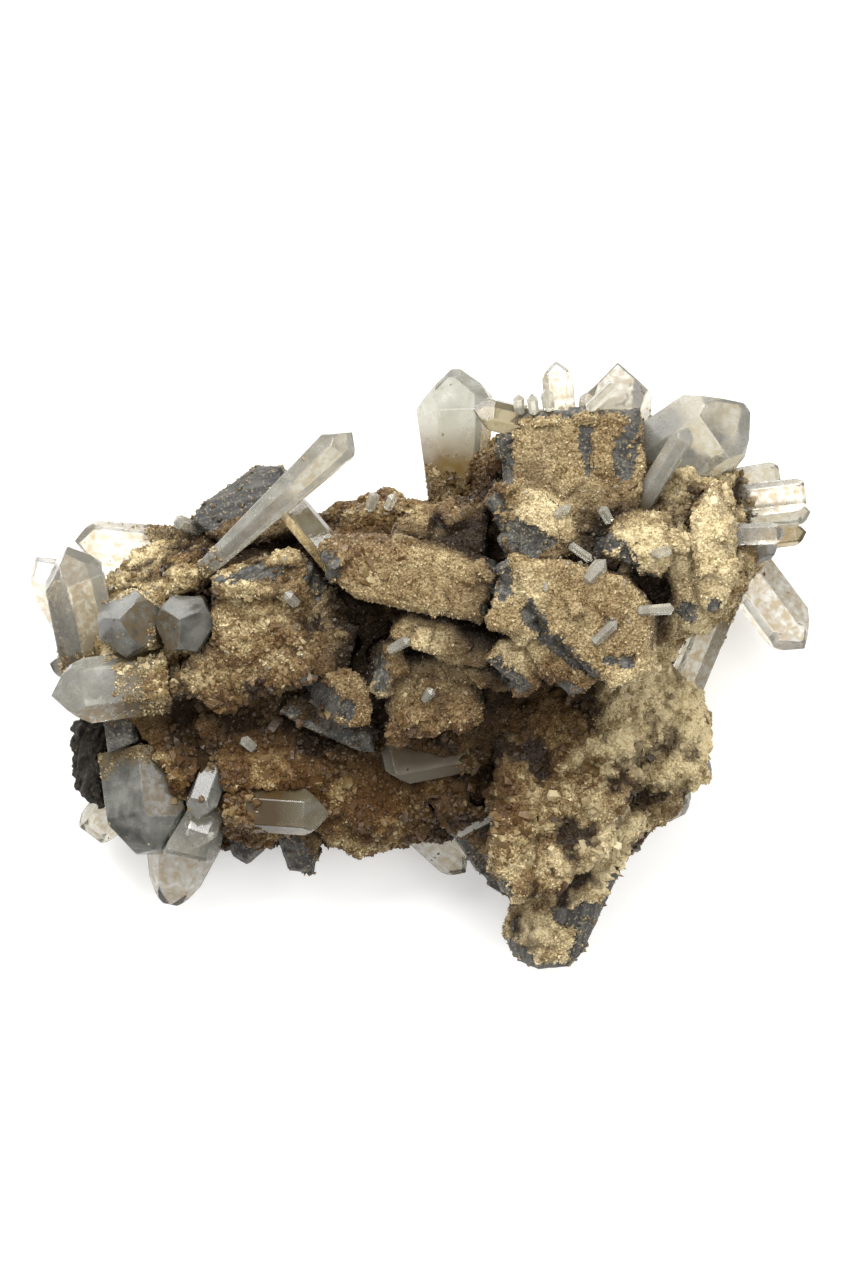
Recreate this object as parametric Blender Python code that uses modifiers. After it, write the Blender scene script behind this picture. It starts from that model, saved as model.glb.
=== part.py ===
"""Epidote with quartz, a natural crystal cluster about 99 mm across, lying on its broken base.

Intergrown dark epidote tablets stand on a rough base mass. A brown druse coats them, and clear
quartz points grow out of the rim and between the tablets. Every crystal is the space inside its
own flat faces: it is cut from a block, one plane at a time. A crystal that an older one pierces
is cut back from it by a small gap, so that the pieces touch nowhere.

Lengths are in millimetres, angles in degrees, and the finished meshes are scaled to metres.
+X runs along the cluster's length, +Z is up from the surface that it lies on.
"""

import math
import random
from dataclasses import dataclass, field

import bmesh
import bpy
from mathutils import Matrix, Vector, noise

MM = 0.001
OBJECT_NAME = "epidote_with_quartz"

# Clearance between neighbouring crystals.
GAP = 0.3

# Quartz: the angle between the prism axis and the normal of a termination face.
QUARTZ_TIP_ANGLE = 51.8
QUARTZ_SIDES = 6

# The base mass: the voxel size of its skin, how far its surface wanders, how many of the
# skin's triangles are kept, and the shards that stand out of it.
MATRIX_VOXEL = 1.6
MATRIX_ROUGHNESS = 1.5
MATRIX_LUMP_SIZE = 6.5
MATRIX_KEPT = 0.051
MATRIX_SHARDS = 24
GROUND_SIZE = (200.0, 200.0, 30.0)

# Shards: small broken blocks that stand half out of a crystal's or the mass's surface. The ranges
# are half of the length and of the width, the height, and how far out the slanting corner face is.
SHARD_LONG = (2.0, 3.4)
SHARD_WIDE = (0.9, 1.9)
SHARD_TALL = (0.5, 1.5)
SHARD_CORNER = (1.5, 2.3)
SHARD_CORNER_SLOPE = Vector((0.75, 0, 0.66))
SHARD_SINK = 3.0
SHARD_TILT = 28.0
SHARD_SPACING = 5.0
SHARD_SEED = 11

# Shards on epidote: their size against those on the mass, and how far up their ground faces.
CLUMP_SHARD_SCALE = 0.62
CLUMP_SHARD_UPWARD = 0.5
SPOTS_TRIED = 400

COLOURS = {
    "druse": ((0.36, 0.26, 0.14, 1.0), 0.85),
    "epidote": ((0.10, 0.105, 0.11, 1.0), 0.45),
    "quartz": ((0.83, 0.82, 0.78, 1.0), 0.08),
    "black_crust": ((0.04, 0.033, 0.028, 1.0), 0.9),
}


@dataclass
class Point:
    """A quartz crystal: six prism faces and a six-faced tip. Root and tip are (x, y, z).

    With no roll a prism face looks up, width is seen from above and flat thins the crystal.
    """

    name: str
    root: tuple
    tip: tuple
    width: float
    roll: float = 0.0
    flat: float = 1.0
    narrowing: float = 0.0
    blunt: float = 0.0
    minor: float = 0.12

    def frame(self):
        """The crystal's own axes: its root is the origin and +Z runs to its tip."""
        root, tip = Vector(self.root), Vector(self.tip)
        turn = (tip - root).to_track_quat("Z", "Y").to_matrix().to_4x4()
        return Matrix.Translation(root) @ turn @ Matrix.Rotation(math.radians(self.roll), 4, "Z")

    def length(self):
        return (Vector(self.tip) - Vector(self.root)).length

    def cells(self, grow=0.0):
        """One closed block, every face moved out by grow."""
        half = self.width / 2 * math.cos(math.pi / QUARTZ_SIDES)
        length = self.length()
        tilt = math.radians(self.narrowing)
        steep = math.radians(QUARTZ_TIP_ANGLE)
        shoulder = length - half / math.tan(math.pi / 2 - steep) * math.cos(steep)
        faces = [(Vector((0, 0, -1)), grow)]
        for k in range(QUARTZ_SIDES):
            turn = math.tau * k / QUARTZ_SIDES + math.pi / 2
            out = Vector((math.cos(turn), math.sin(turn), 0))
            reach = half * (self.flat if k % 3 == 0 else 1)
            side = (out * math.cos(tilt) - Vector((0, 0, math.sin(tilt)))).normalized()
            faces.append((side, side.dot(out * reach + Vector((0, 0, shoulder))) + grow))
            slope = out * math.sin(steep) + Vector((0, 0, math.cos(steep)))
            spare = self.minor * self.width * (k % 2)
            faces.append((slope, slope.z * length + spare + grow))
        if self.blunt:
            faces.append((Vector((0, 0, 1)), length - self.blunt + grow))
        return [cut_block(faces, length + self.width, self.frame())]


@dataclass
class Tablet:
    """A flat epidote crystal. outline is its upper face seen from above, anticlockwise."""

    outline: tuple
    height: float
    thickness: float
    slope: tuple = (0.0, 0.0)
    lean: tuple = (0.0, 0.0)
    chamfer: float = 0.6

    def cell(self, grow=0.0):
        corners = [Vector((x, y)) for x, y in self.outline]
        middle = sum(corners, Vector((0, 0))) / len(corners)
        rise = Vector(self.slope)
        rim = [Vector((*(c - middle), rise.dot(c - middle))) for c in corners]
        up = Vector((-rise.x, -rise.y, 1)).normalized()
        down = Vector((*self.lean, -1)).normalized()
        faces = [(up, grow), (-up, self.thickness + grow)]
        for a, b in zip(rim, rim[1:] + rim[:1]):
            side = down.cross(b - a).normalized()
            faces.append((side, side.dot(a) + grow))
            edge = (side + up).normalized()
            faces.append((edge, edge.dot(a) - self.chamfer * math.sqrt(0.5) + grow))
        reach = max(c.length for c in rim) + self.thickness
        return cut_block(faces, 2 * reach, Matrix.Translation((*middle, self.height)))


@dataclass
class Clump:
    """Epidote tablets that have grown through one another, as one solid, with shards on them."""

    name: str
    tablets: list = field(default_factory=list)
    shards: int = 0
    finish: str = "epidote"

    def cells(self, grow=0.0):
        made = [tablet.cell(grow) for tablet in self.tablets]
        if self.shards:
            dice = random.Random(self.name)
            spots = []
            for tablet in self.tablets:
                spots += spots_on(tablet.cell(), dice, CLUMP_SHARD_UPWARD)
            made += shards_at(spots, self.shards, dice, CLUMP_SHARD_SCALE, grow)
        return made


@dataclass
class Lump:
    """A rounded swelling of the base mass."""

    centre: tuple
    radii: tuple


# Quartz points, from the left edge round to the right. Where two meet, the first one is whole.
QUARTZ = [
    Point("quartz_long_point", (-27.0, 12.0, 27.0), (-8.3, 29.2, 33.0), 5.4, 24, 0.9, 3.0),
    Point("quartz_strut", (-9.0, 11.6, 30.0), (-17.0, 21.2, 24.0), 4.2, 15, 0.8),
    Point("quartz_left_cloudy", (-31.8, -1.6, 22.0), (-46.2, -3.6, 23.0), 8.4, 8, 0.85),
    Point("quartz_eye_left", (-34.0, 4.4, 15.0), (-37.4, 6.0, 29.5), 8.8, 20, 0.95),
    Point("quartz_eye_right", (-28.0, 4.4, 17.0), (-29.9, 5.9, 31.0), 8.0, 5, 0.95),
    Point("quartz_left_upright", (-40.8, -3.0, 12.5), (-44.2, 15.2, 19.0), 8.6, 28, 0.85),
    Point("quartz_left_upper", (-27.0, 14.4, 13.0), (-43.6, 15.9, 14.5), 6.0, 12, 0.8),
    Point("quartz_far_left", (-41.0, 1.5, 6.5), (-48.6, 14.0, 9.0), 6.2, 8, 0.85),
    Point("quartz_left_bud", (-41.8, -0.8, 9.5), (-46.9, 0.4, 10.0), 2.8, 0, 0.9),
    Point("quartz_grey_block", (-34.9, -10.9, 13.6), (-33.6, -25.0, 16.4), 11.2, 36, 0.95, -3, 1.6, 0.05),
    Point("quartz_grey_bud", (-25.6, -12.2, 19.0), (-28.0, -19.2, 22.0), 4.2, 20, 0.9),
    Point("quartz_lower_ledge", (-27.5, -15.0, 15.5), (-30.0, -26.4, 15.0), 8.0, 0, 0.7, 0, 2.6),
    Point("quartz_lower_bud", (-26.0, -16.5, 18.0), (-28.4, -22.9, 20.5), 4.4, 10, 0.8),
    Point("quartz_lower_tip", (-28.6, -15.0, 6.8), (-31.8, -30.9, 6.8), 5.6, 0, 0.75, -15, 0.7),
    Point("quartz_low_left", (-37.0, -15.0, 7.0), (-42.6, -22.6, 6.5), 5.4, 0, 0.8, 0, 1.5),
    Point("quartz_low_centre", (-24.0, -17.6, 19.5), (-11.2, -18.4, 22.0), 6.0, 8, 0.9),
    Point("quartz_grey_slab", (6.5, -9.8, 18.6), (-5.6, -12.2, 20.4), 6.8, 14, 0.55, 0, 1.0),
    Point("quartz_foot_left", (-3.0, -18.0, 7.5), (5.9, -26.2, 7.0), 4.4, 0, 0.9),
    Point("quartz_sceptre", (4.6, 15.5, 11.0), (4.5, 38.1, 14.5), 10.8, 12, 0.9, 7.0, 0.5),
    Point("quartz_stained_cap", (16.5, 29.6, 32.0), (6.6, 31.9, 35.2), 4.4, 20, 0.9),
    Point("quartz_top_small", (18.0, 27.5, 21.0), (17.1, 38.4, 23.0), 4.0, 0, 0.9),
    Point("quartz_top_white", (24.4, 28.5, 10.0), (25.0, 38.3, 17.0), 9.4, 10, 0.9),
    Point("quartz_big_right", (26.5, 23.0, 23.0), (41.4, 32.8, 27.0), 11.8, 12, 0.85, 1.0, 0.6),
    Point("quartz_big_right_prism", (26.6, 18.6, 31.0), (33.4, 29.8, 34.5), 3.1, 20, 0.9),
    Point("quartz_comb_top", (36.0, 22.6, 20.0), (46.0, 24.4, 20.0), 3.4, 0, 0.8, 0, 0.8),
    Point("quartz_comb_blunt", (37.5, 20.4, 23.0), (49.6, 21.9, 23.0), 4.2, 0, 0.8, 0, 1.3),
    Point("quartz_comb_middle", (36.5, 18.4, 18.0), (49.3, 19.5, 17.0), 3.2, 20, 0.8),
    Point("quartz_comb_clear", (34.5, 16.4, 27.5), (45.7, 16.7, 27.0), 2.7, 0, 0.8),
    Point("quartz_comb_low", (38.0, 15.6, 14.5), (48.9, 17.0, 14.5), 3.2, 10, 0.9),
    Point("quartz_comb_grey", (38.5, 12.6, 21.0), (44.9, 15.2, 23.0), 2.5, 0, 0.9),
    Point("quartz_right_arm", (38.0, 16.5, 11.0), (48.8, 2.2, 9.5), 7.4, 20, 0.85),
    Point("quartz_right_edge", (39.0, 10.5, 13.0), (32.4, -5.5, 12.0), 4.8, 20, 0.9),
    Point("quartz_right_spike", (29.5, -10.5, 15.0), (37.0, -13.2, 13.5), 3.2, 0, 0.9),
    Point("quartz_right_foot", (27.0, -8.0, 9.0), (33.0, -20.0, 8.5), 6.8, 0, 0.8, 0, 0.9),
]

# Epidote tablets, the highest first. Outlines are seen from above.
EPIDOTE = [
    Clump("epidote_centre_stack", [
        Tablet(((13.2, 7.8), (21.0, -1.0), (25.0, -1.8), (28.2, -0.5), (28.4, 7.0), (25.0, 11.0),
                (18.0, 12.8), (12.2, 13.0)), 42.6, 13.0, (-0.06, 0.14), (0.08, 0.0), 0.5),
        Tablet(((8.3, 5.9), (10.0, 4.6), (11.9, 4.2), (14.6, 6.0), (15.5, 12.3),
                (12.0, 13.0), (10.2, 12.2)), 41.0, 9.0, (0.22, 0.0), (0.12, 0.0), 0.4),
        Tablet(((12.4, 4.6), (14.8, -0.2), (18.7, -3.6), (20.6, -2.6), (22.5, -0.5),
                (16.6, 6.8)), 39.6, 8.0, (0.12, 0.20), (0.1, 0.1), 0.4),
        Tablet(((8.1, 0.8), (12.8, -2.9), (14.0, -2.2), (15.0, 0.2), (14.5, 3.6),
                (10.0, 3.2)), 37.6, 6.0, (0.12, 0.25), (0.15, 0.15), 0.4),
    ], 12),
    Clump("epidote_right_spur", [
        Tablet(((22.2, 14.2), (25.0, 12.8), (28.3, 9.9), (30.4, 12.6), (29.4, 16.6),
                (25.4, 17.0), (23.0, 16.2)), 40.0, 7.5, (0.10, 0.22), (0.25, 0.35), 0.4),
    ], 2),
    Clump("epidote_crown", [
        Tablet(((10.0, 28.6), (10.4, 22.0), (13.5, 18.0), (26.6, 16.5), (27.6, 25.0),
                (27.3, 32.0), (14.0, 31.9), (11.6, 31.0)), 35.0, 18.0, (0.0, 0.16), (0.03, -0.08), 0.7),
        Tablet(((8.3, 20.5), (11.4, 13.4), (12.2, 13.0), (16.2, 12.9), (19.8, 14.6), (18.0, 18.6),
                (15.0, 21.4), (10.6, 22.8)), 37.4, 12.0, (0.10, 0.22), (0.10, 0.10), 0.5),
        Tablet(((16.0, 12.6), (24.0, 12.0), (27.0, 17.0), (24.0, 20.0), (16.0, 19.0)),
               33.4, 9.0, (0.0, 0.14), (0.0, 0.0), 0.5),
    ], 12),
    Clump("epidote_finger_pair", [
        Tablet(((30.2, 12.6), (31.4, 8.4), (32.5, 6.0), (34.0, 6.2), (34.3, 8.2),
                (33.6, 14.4), (32.0, 16.6), (30.6, 15.6)), 36.4, 12.0, (-0.16, 0.24), (0.1, 0.25), 0.8),
        Tablet(((34.2, 10.2), (34.9, 7.6), (36.0, 6.5), (37.4, 7.3), (38.6, 9.6),
                (38.7, 12.4), (38.0, 17.0), (36.2, 20.6), (33.8, 18.0)),
               37.2, 13.0, (-0.14, 0.18), (0.05, 0.25), 0.9),
    ], 5),
    Clump("epidote_long_blade", [
        Tablet(((-12.2, 13.0), (-9.8, 10.0), (-7.6, 8.2), (0.0, 6.9), (5.4, 5.7), (7.6, 5.6),
                (9.6, 11.6), (5.0, 13.3), (-3.4, 14.8), (-10.4, 14.9), (-12.1, 13.9)),
               37.4, 6.5, (0.06, 0.10), (0.0, 0.25), 0.6),
    ], 5),
    Clump("epidote_back_slab", [
        Tablet(((-3.8, 14.6), (2.0, 11.0), (8.0, 11.6), (8.3, 20.4), (5.0, 20.1), (-2.4, 17.6)),
               31.6, 9.0, (0.08, 0.10), (0.0, 0.1), 0.5),
    ], 5),
    Clump("epidote_lower_fan", [
        Tablet(((-3.4, 4.0), (-2.8, 3.0), (0.2, 2.2), (4.0, 0.6), (4.8, 4.3), (3.2, 5.6),
                (1.8, 6.3), (-1.1, 6.3), (-2.6, 5.3)), 34.4, 4.2, (0.06, 0.24), (0.1, 0.4), 0.5),
        Tablet(((2.0, 1.3), (4.2, 0.4), (7.6, 0.0), (9.4, 2.9), (6.2, 4.0), (3.6, 4.9)),
               33.4, 4.0, (0.02, 0.26), (0.2, 0.4), 0.4),
        Tablet(((2.0, 0.9), (4.0, -1.4), (10.0, -3.0), (12.8, -2.6), (8.0, 0.8)),
               30.6, 4.0, (-0.02, 0.35), (0.2, 0.5), 0.3),
        Tablet(((-4.6, 1.8), (-5.2, -2.8), (-3.8, -3.5), (-2.4, 1.2), (-2.4, 2.8), (-3.9, 2.4)),
               31.8, 7.0, (-0.10, 0.15), (-0.2, 0.1), 0.3),
        Tablet(((-4.2, -4.6), (-2.8, -8.6), (-1.6, -8.9), (1.5, -8.8), (5.4, -6.9), (7.6, -5.6),
                (6.4, -1.4), (2.2, 1.2), (-3.2, 0.8)), 29.4, 8.0, (-0.04, 0.22), (0.1, 0.2), 0.6),
    ], 9),
    Clump("epidote_dark_blades", [
        Tablet(((-11.0, -0.8), (-9.4, -6.6), (-8.2, -7.4), (-6.2, -6.8), (-5.8, -4.6),
                (-6.6, -1.6), (-8.6, -0.2)), 30.4, 5.5, (0.14, 0.16), (-0.6, -0.1), 0.3),
        Tablet(((-17.6, -5.6), (-15.0, -7.4), (-7.6, -10.6), (-5.8, -10.8), (-6.0, -7.0),
                (-10.0, -3.0), (-16.0, -4.0)), 24.0, 4.5, (-0.05, 0.12), (0.1, 0.2), 0.3),
    ]),
    Clump("epidote_left_table", [
        Tablet(((-26.0, 9.4), (-25.4, 2.0), (-22.0, -3.6), (-15.0, -2.4), (-10.0, 0.4), (-8.2, 4.2),
                (-10.4, 7.6), (-13.6, 12.2), (-20.0, 12.4)), 28.8, 9.0, (0.04, 0.16), (0.0, 0.15), 1.2),
        Tablet(((-25.8, 11.0), (-25.2, 8.8), (-14.0, 9.0), (-13.2, 12.4), (-17.0, 13.8)),
               31.2, 5.0, (0.0, 0.08), (0.0, 0.1), 0.4),
        Tablet(((-31.2, -3.4), (-24.0, -4.6), (-17.0, -3.2), (-17.4, 3.0), (-24.4, 4.4), (-29.6, 0.4)),
               26.6, 8.0, (0.10, 0.24), (0.1, 0.2), 0.9),
        Tablet(((-15.4, -2.0), (-10.0, -0.8), (-8.0, 2.6), (-9.4, 6.0), (-14.6, 5.0)),
               28.8, 6.0, (-0.16, 0.20), (0.0, 0.1), 0.7),
    ], 13),
    Clump("epidote_rear_left", [
        Tablet(((-28.8, 18.0), (-24.0, 15.0), (-14.0, 17.0), (-15.8, 22.4), (-17.4, 25.2),
                (-20.4, 25.2), (-27.2, 20.6)), 21.0, 8.0, (0.06, -0.12), (0.0, 0.0), 0.6),
        Tablet(((-30.4, 18.0), (-30.2, 15.0), (-24.0, 14.4), (-24.0, 17.6), (-28.0, 18.4)),
               17.4, 5.0, (0.0, -0.1), (0.0, 0.0), 0.3),
    ]),
    Clump("epidote_left_tab", [
        Tablet(((-39.8, -7.0), (-39.2, -11.0), (-35.9, -9.6), (-36.2, -6.0), (-38.6, -5.6)),
               19.4, 8.0, (0.05, -0.1), (0.3, 0.1), 0.2),
    ]),
    Clump("epidote_foot_block", [
        Tablet(((9.8, -9.0), (9.8, -25.6), (11.4, -28.6), (14.6, -29.1), (18.2, -27.2), (22.6, -22.8),
                (27.0, -16.0), (27.6, -8.0), (20.0, -4.6)), 22.6, 12.0, (0.05, -0.06), (0.0, 0.1), 0.6),
        Tablet(((9.7, -17.0), (9.9, -25.6), (11.2, -28.4), (13.4, -28.6), (14.2, -18.0)),
               24.6, 9.0, (-0.06, -0.04), (-0.1, 0.0), 0.7),
        Tablet(((15.0, -19.0), (16.4, -27.6), (22.6, -22.6), (26.4, -15.0), (21.0, -12.6)),
               24.0, 7.0, (0.16, 0.02), (0.0, 0.0), 0.8),
        Tablet(((12.0, -31.0), (11.2, -35.4), (12.6, -37.2), (15.0, -38.2), (18.9, -37.9),
                (20.6, -36.0), (28.6, -18.4), (22.0, -16.0), (14.0, -24.0)),
               18.0, 11.5, (0.0, 0.12), (-0.03, 0.12), 1.0),
    ], 16),
    Clump("epidote_foot_edge", [
        Tablet(((-1.0, -19.4), (5.4, -24.4), (7.8, -26.8), (10.0, -30.1), (11.6, -30.7),
                (12.4, -27.0), (9.0, -19.0), (3.0, -15.5)), 15.5, 7.0, (0.1, 0.3), (0.0, 0.1), 0.4),
    ], 2),
    Clump("epidote_under_prism", [
        Tablet(((-18.5, -20.0), (-16.6, -25.8), (-13.4, -26.4), (-12.6, -22.0), (-13.5, -18.5)),
               14.0, 8.0, (0.0, 0.25), (0.0, 0.2), 0.5),
        Tablet(((-12.8, -20.0), (-11.8, -24.6), (-9.0, -24.4), (-8.6, -20.0)),
               12.5, 6.0, (-0.1, 0.3), (0.0, 0.2), 0.4),
    ]),
    Clump("epidote_under_bud", [
        Tablet(((-25.0, -21.4), (-23.6, -24.2), (-21.8, -25.3), (-19.6, -23.4), (-18.8, -20.0),
                (-22.0, -17.0)), 12.0, 7.0, (0.0, 0.25), (0.0, 0.2), 0.8),
    ]),
    Clump("black_crust_lump", [
        Tablet(((-43.9, -8.0), (-44.2, -12.0), (-44.0, -14.8), (-42.2, -17.2), (-40.0, -18.5),
                (-37.5, -14.0), (-39.5, -7.0), (-43.0, -6.2)), 15.0, 9.0, (0.15, 0.0), (0.2, 0.1), 0.9),
    ], 0, "black_crust"),
]

# The base mass under and between the crystals. The lowest lumps give it its flat resting spot.
LUMPS = [
    Lump((-20.0, 4.0, 13.0), (17.0, 10.5, 14.5)),
    Lump((-21.0, -12.0, 10.5), (16.5, 10.5, 11.5)),
    Lump((-33.0, 2.0, 12.0), (9.0, 12.0, 9.5)),
    Lump((-33.0, -12.0, 11.0), (8.0, 7.5, 8.5)),
    Lump((2.0, 1.0, 12.0), (16.0, 15.0, 13.5)),
    Lump((-1.0, 13.0, 14.0), (16.0, 8.0, 12.5)),
    Lump((21.0, 13.0, 15.0), (16.0, 15.0, 18.0)),
    Lump((18.0, 23.0, 16.0), (11.0, 8.0, 15.0)),
    Lump((33.0, 16.0, 19.0), (9.0, 11.0, 13.5)),
    Lump((30.0, 24.0, 18.0), (7.0, 6.0, 10.0)),
    Lump((21.5, -6.0, 12.0), (11.5, 12.0, 12.5)),
    Lump((20.0, -17.0, 11.0), (9.5, 10.0, 9.0)),
    Lump((29.4, -9.5, 12.5), (6.4, 9.0, 9.5)),
    Lump((-7.0, -15.0, 9.5), (12.5, 8.5, 8.5)),
    Lump((5.0, -13.0, 10.0), (8.0, 8.5, 8.0)),
    Lump((-6.0, -18.0, 12.0), (5.5, 4.5, 7.0)),
    Lump((-21.0, 14.5, 12.0), (10.0, 6.0, 7.5)),
    Lump((-31.5, 10.8, 15.0), (6.5, 4.2, 8.5)),
    Lump((-27.5, 11.0, 18.0), (6.0, 5.5, 8.0)),
    Lump((-33.5, 0.0, 16.0), (6.5, 4.0, 8.0)),
    Lump((-38.5, 6.0, 9.0), (3.5, 6.0, 7.0)),
    Lump((-6.0, 2.0, 16.0), (6.0, 8.0, 10.0)),
]


def cut_block(faces, reach, place):
    """The block left when all that lies outside each (normal, distance) face is cut away."""
    block = bmesh.new()
    bmesh.ops.create_cube(block, size=2 * reach)
    for normal, distance in faces:
        everything = block.verts[:] + block.edges[:] + block.faces[:]
        cut = bmesh.ops.bisect_plane(
            block, geom=everything, plane_co=normal * distance, plane_no=normal, clear_outer=True
        )
        rim = [e for e in cut["geom_cut"] if isinstance(e, bmesh.types.BMEdge)]
        if rim:
            bmesh.ops.contextual_create(block, geom=rim)
    bmesh.ops.recalc_face_normals(block, faces=block.faces[:])
    bmesh.ops.transform(block, matrix=place, verts=block.verts[:])
    mesh = bpy.data.meshes.new("cell")
    block.to_mesh(mesh)
    block.free()
    return mesh


def collection_named(name):
    collection = bpy.data.collections.new(name)
    bpy.context.scene.collection.children.link(collection)
    return collection


def object_of(mesh, name, collection):
    made = bpy.data.objects.new(name, mesh)
    collection.objects.link(made)
    return made


def helper_of(mesh, collection):
    made = object_of(mesh, "helper", collection)
    made.hide_render = True
    made.display_type = "WIRE"
    return made


def apply_modifiers(target):
    """Gives the target the mesh that its modifiers make, and removes them."""
    graph = bpy.context.evaluated_depsgraph_get()
    finished = bpy.data.meshes.new_from_object(target.evaluated_get(graph))
    target.modifiers.clear()
    target.data = finished


def combine(target, operation, meshes, helpers):
    """Joins the meshes to the target, or cuts them out of it, in one Boolean."""
    if not meshes:
        return
    tools = [helper_of(mesh, helpers) for mesh in meshes]
    step = target.modifiers.new(operation.title(), "BOOLEAN")
    step.operation = operation
    step.operand_type = "COLLECTION"
    step.collection = helpers
    apply_modifiers(target)
    for tool in tools:
        bpy.data.objects.remove(tool)


def keep_largest(target):
    """Removes the crumbs that a cut has parted from the main body."""
    work = bmesh.new()
    work.from_mesh(target.data)
    left = set(work.verts)
    bodies = []
    while left:
        body = {left.pop()}
        edge = set(body)
        while edge:
            edge = {other for v in edge for e in v.link_edges for other in e.verts} & left
            left -= edge
            body |= edge
        bodies.append(body)
    largest = max(bodies, key=len)
    crumbs = [v for v in work.verts if v not in largest]
    bmesh.ops.delete(work, geom=crumbs, context="VERTS")
    work.to_mesh(target.data)
    work.free()


def base_mass(collection, helpers):
    """The rough mass that carries the crystals: merged lumps, a craggy skin and a flat cut base."""
    work = bmesh.new()
    for lump in LUMPS:
        place = Matrix.Translation(lump.centre) @ Matrix.Diagonal((*lump.radii, 1))
        bmesh.ops.create_icosphere(work, subdivisions=3, radius=1, matrix=place)
    mesh = bpy.data.meshes.new("druse_matrix")
    work.to_mesh(mesh)
    work.free()
    mass = object_of(mesh, "druse_matrix", collection)
    skin = mass.modifiers.new("Skin", "REMESH")
    skin.mode = "VOXEL"
    skin.voxel_size = MATRIX_VOXEL
    apply_modifiers(mass)

    work = bmesh.new()
    work.from_mesh(mass.data)
    work.normal_update()
    shifts = {v: v.normal * MATRIX_ROUGHNESS * crag(v.co) for v in work.verts}
    for vertex, shift in shifts.items():
        vertex.co += shift
    work.to_mesh(mass.data)
    work.free()
    facets = mass.modifiers.new("Facets", "DECIMATE")
    facets.ratio = MATRIX_KEPT
    apply_modifiers(mass)
    dice = random.Random(SHARD_SEED)
    shards = shards_at(spots_on(mass.data, dice, -1.0), MATRIX_SHARDS, dice, 1.0)
    combine(mass, "UNION", shards, helpers)
    combine(mass, "DIFFERENCE", [ground()], helpers)
    return mass


def ground():
    """A block whose top is the surface that the cluster lies on."""
    work = bmesh.new()
    place = Matrix.Translation((0, 0, -GROUND_SIZE[2] / 2)) @ Matrix.Diagonal((*GROUND_SIZE, 1))
    bmesh.ops.create_cube(work, size=1, matrix=place)
    mesh = bpy.data.meshes.new("ground")
    work.to_mesh(mesh)
    work.free()
    return mesh


def spots_on(mesh, dice, upward):
    """Random (place, normal) spots on a mesh, spread by area, where it faces up by at least upward."""
    mesh.calc_loop_triangles()
    faces = [f for f in mesh.loop_triangles if f.normal.z >= upward]
    if not faces:
        return []
    spots = []
    for face in dice.choices(faces, weights=[f.area for f in faces], k=SPOTS_TRIED):
        a, b, c = (mesh.vertices[v].co for v in face.vertices)
        s, t = sorted((dice.random(), dice.random()))
        spots.append((a * s + b * (t - s) + c * (1 - t), face.normal.copy()))
    return spots


def shards_at(spots, count, dice, scale, grow=0.0):
    """Broken crystal blocks of a few millimetres at the first spots that lie far enough apart."""
    dice.shuffle(spots)
    placed = []
    shards = []
    for place, normal in spots:
        if len(shards) == count:
            break
        if any((place - other).length < scale * SHARD_SPACING for other in placed):
            continue
        placed.append(place)
        turn = normal.to_track_quat("Z", "Y").to_matrix().to_4x4()
        tilt = Matrix.Rotation(math.radians(dice.uniform(-SHARD_TILT, SHARD_TILT)), 4, "X")
        spin = Matrix.Rotation(dice.uniform(0, math.tau), 4, "Z")
        long = scale * dice.uniform(*SHARD_LONG) + grow
        wide = scale * dice.uniform(*SHARD_WIDE) + grow
        tall = scale * dice.uniform(*SHARD_TALL) + grow
        sides = [
            (Vector((1, 0, 0)), long),
            (Vector((-1, 0, 0)), long),
            (Vector((0, 1, 0)), wide),
            (Vector((0, -1, 0)), wide),
            (Vector((0, 0, 1)), tall),
            (Vector((0, 0, -1)), scale * SHARD_SINK + grow),
            (SHARD_CORNER_SLOPE.normalized(), scale * dice.uniform(*SHARD_CORNER) + grow),
        ]
        shards.append(cut_block(sides, 2 * long, Matrix.Translation(place) @ turn @ tilt @ spin))
    return shards


def crag(place):
    """A craggy value from about -1 to 1 that varies over the base mass."""
    coarse = noise.noise(place / MATRIX_LUMP_SIZE)
    ridges = 1 - 2 * abs(noise.noise(place / (0.55 * MATRIX_LUMP_SIZE) + Vector((7, 3, 1))))
    return coarse + 0.5 * ridges


def boxes_meet(a, b):
    """True where two meshes' bounding boxes overlap."""
    for k in range(3):
        a_side = [v.co[k] for v in a.vertices]
        b_side = [v.co[k] for v in b.vertices]
        if min(a_side) > max(b_side) or min(b_side) > max(a_side):
            return False
    return True


def finish_materials():
    made = {}
    for name, (colour, roughness) in COLOURS.items():
        material = bpy.data.materials.new(name)
        material.use_nodes = True
        shader = material.node_tree.nodes["Principled BSDF"]
        shader.inputs["Base Color"].default_value = colour
        shader.inputs["Roughness"].default_value = roughness
        shader.inputs["IOR"].default_value = 1.54
        if name == "quartz":
            shader.inputs["Transmission Weight"].default_value = 0.9
        made[name] = material
    return made


def centre_on_base(parts):
    """Moves the whole cluster so that the origin lies under the middle of its bounding box."""
    points = [v.co for part in parts for v in part.data.vertices]
    lows = [min(p[k] for p in points) for k in range(3)]
    highs = [max(p[k] for p in points) for k in range(3)]
    shift = Vector((-(lows[0] + highs[0]) / 2, -(lows[1] + highs[1]) / 2, -lows[2]))
    to_metres = Matrix.Scale(MM, 4) @ Matrix.Translation(shift)
    for part in parts:
        part.data.transform(to_metres)


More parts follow.
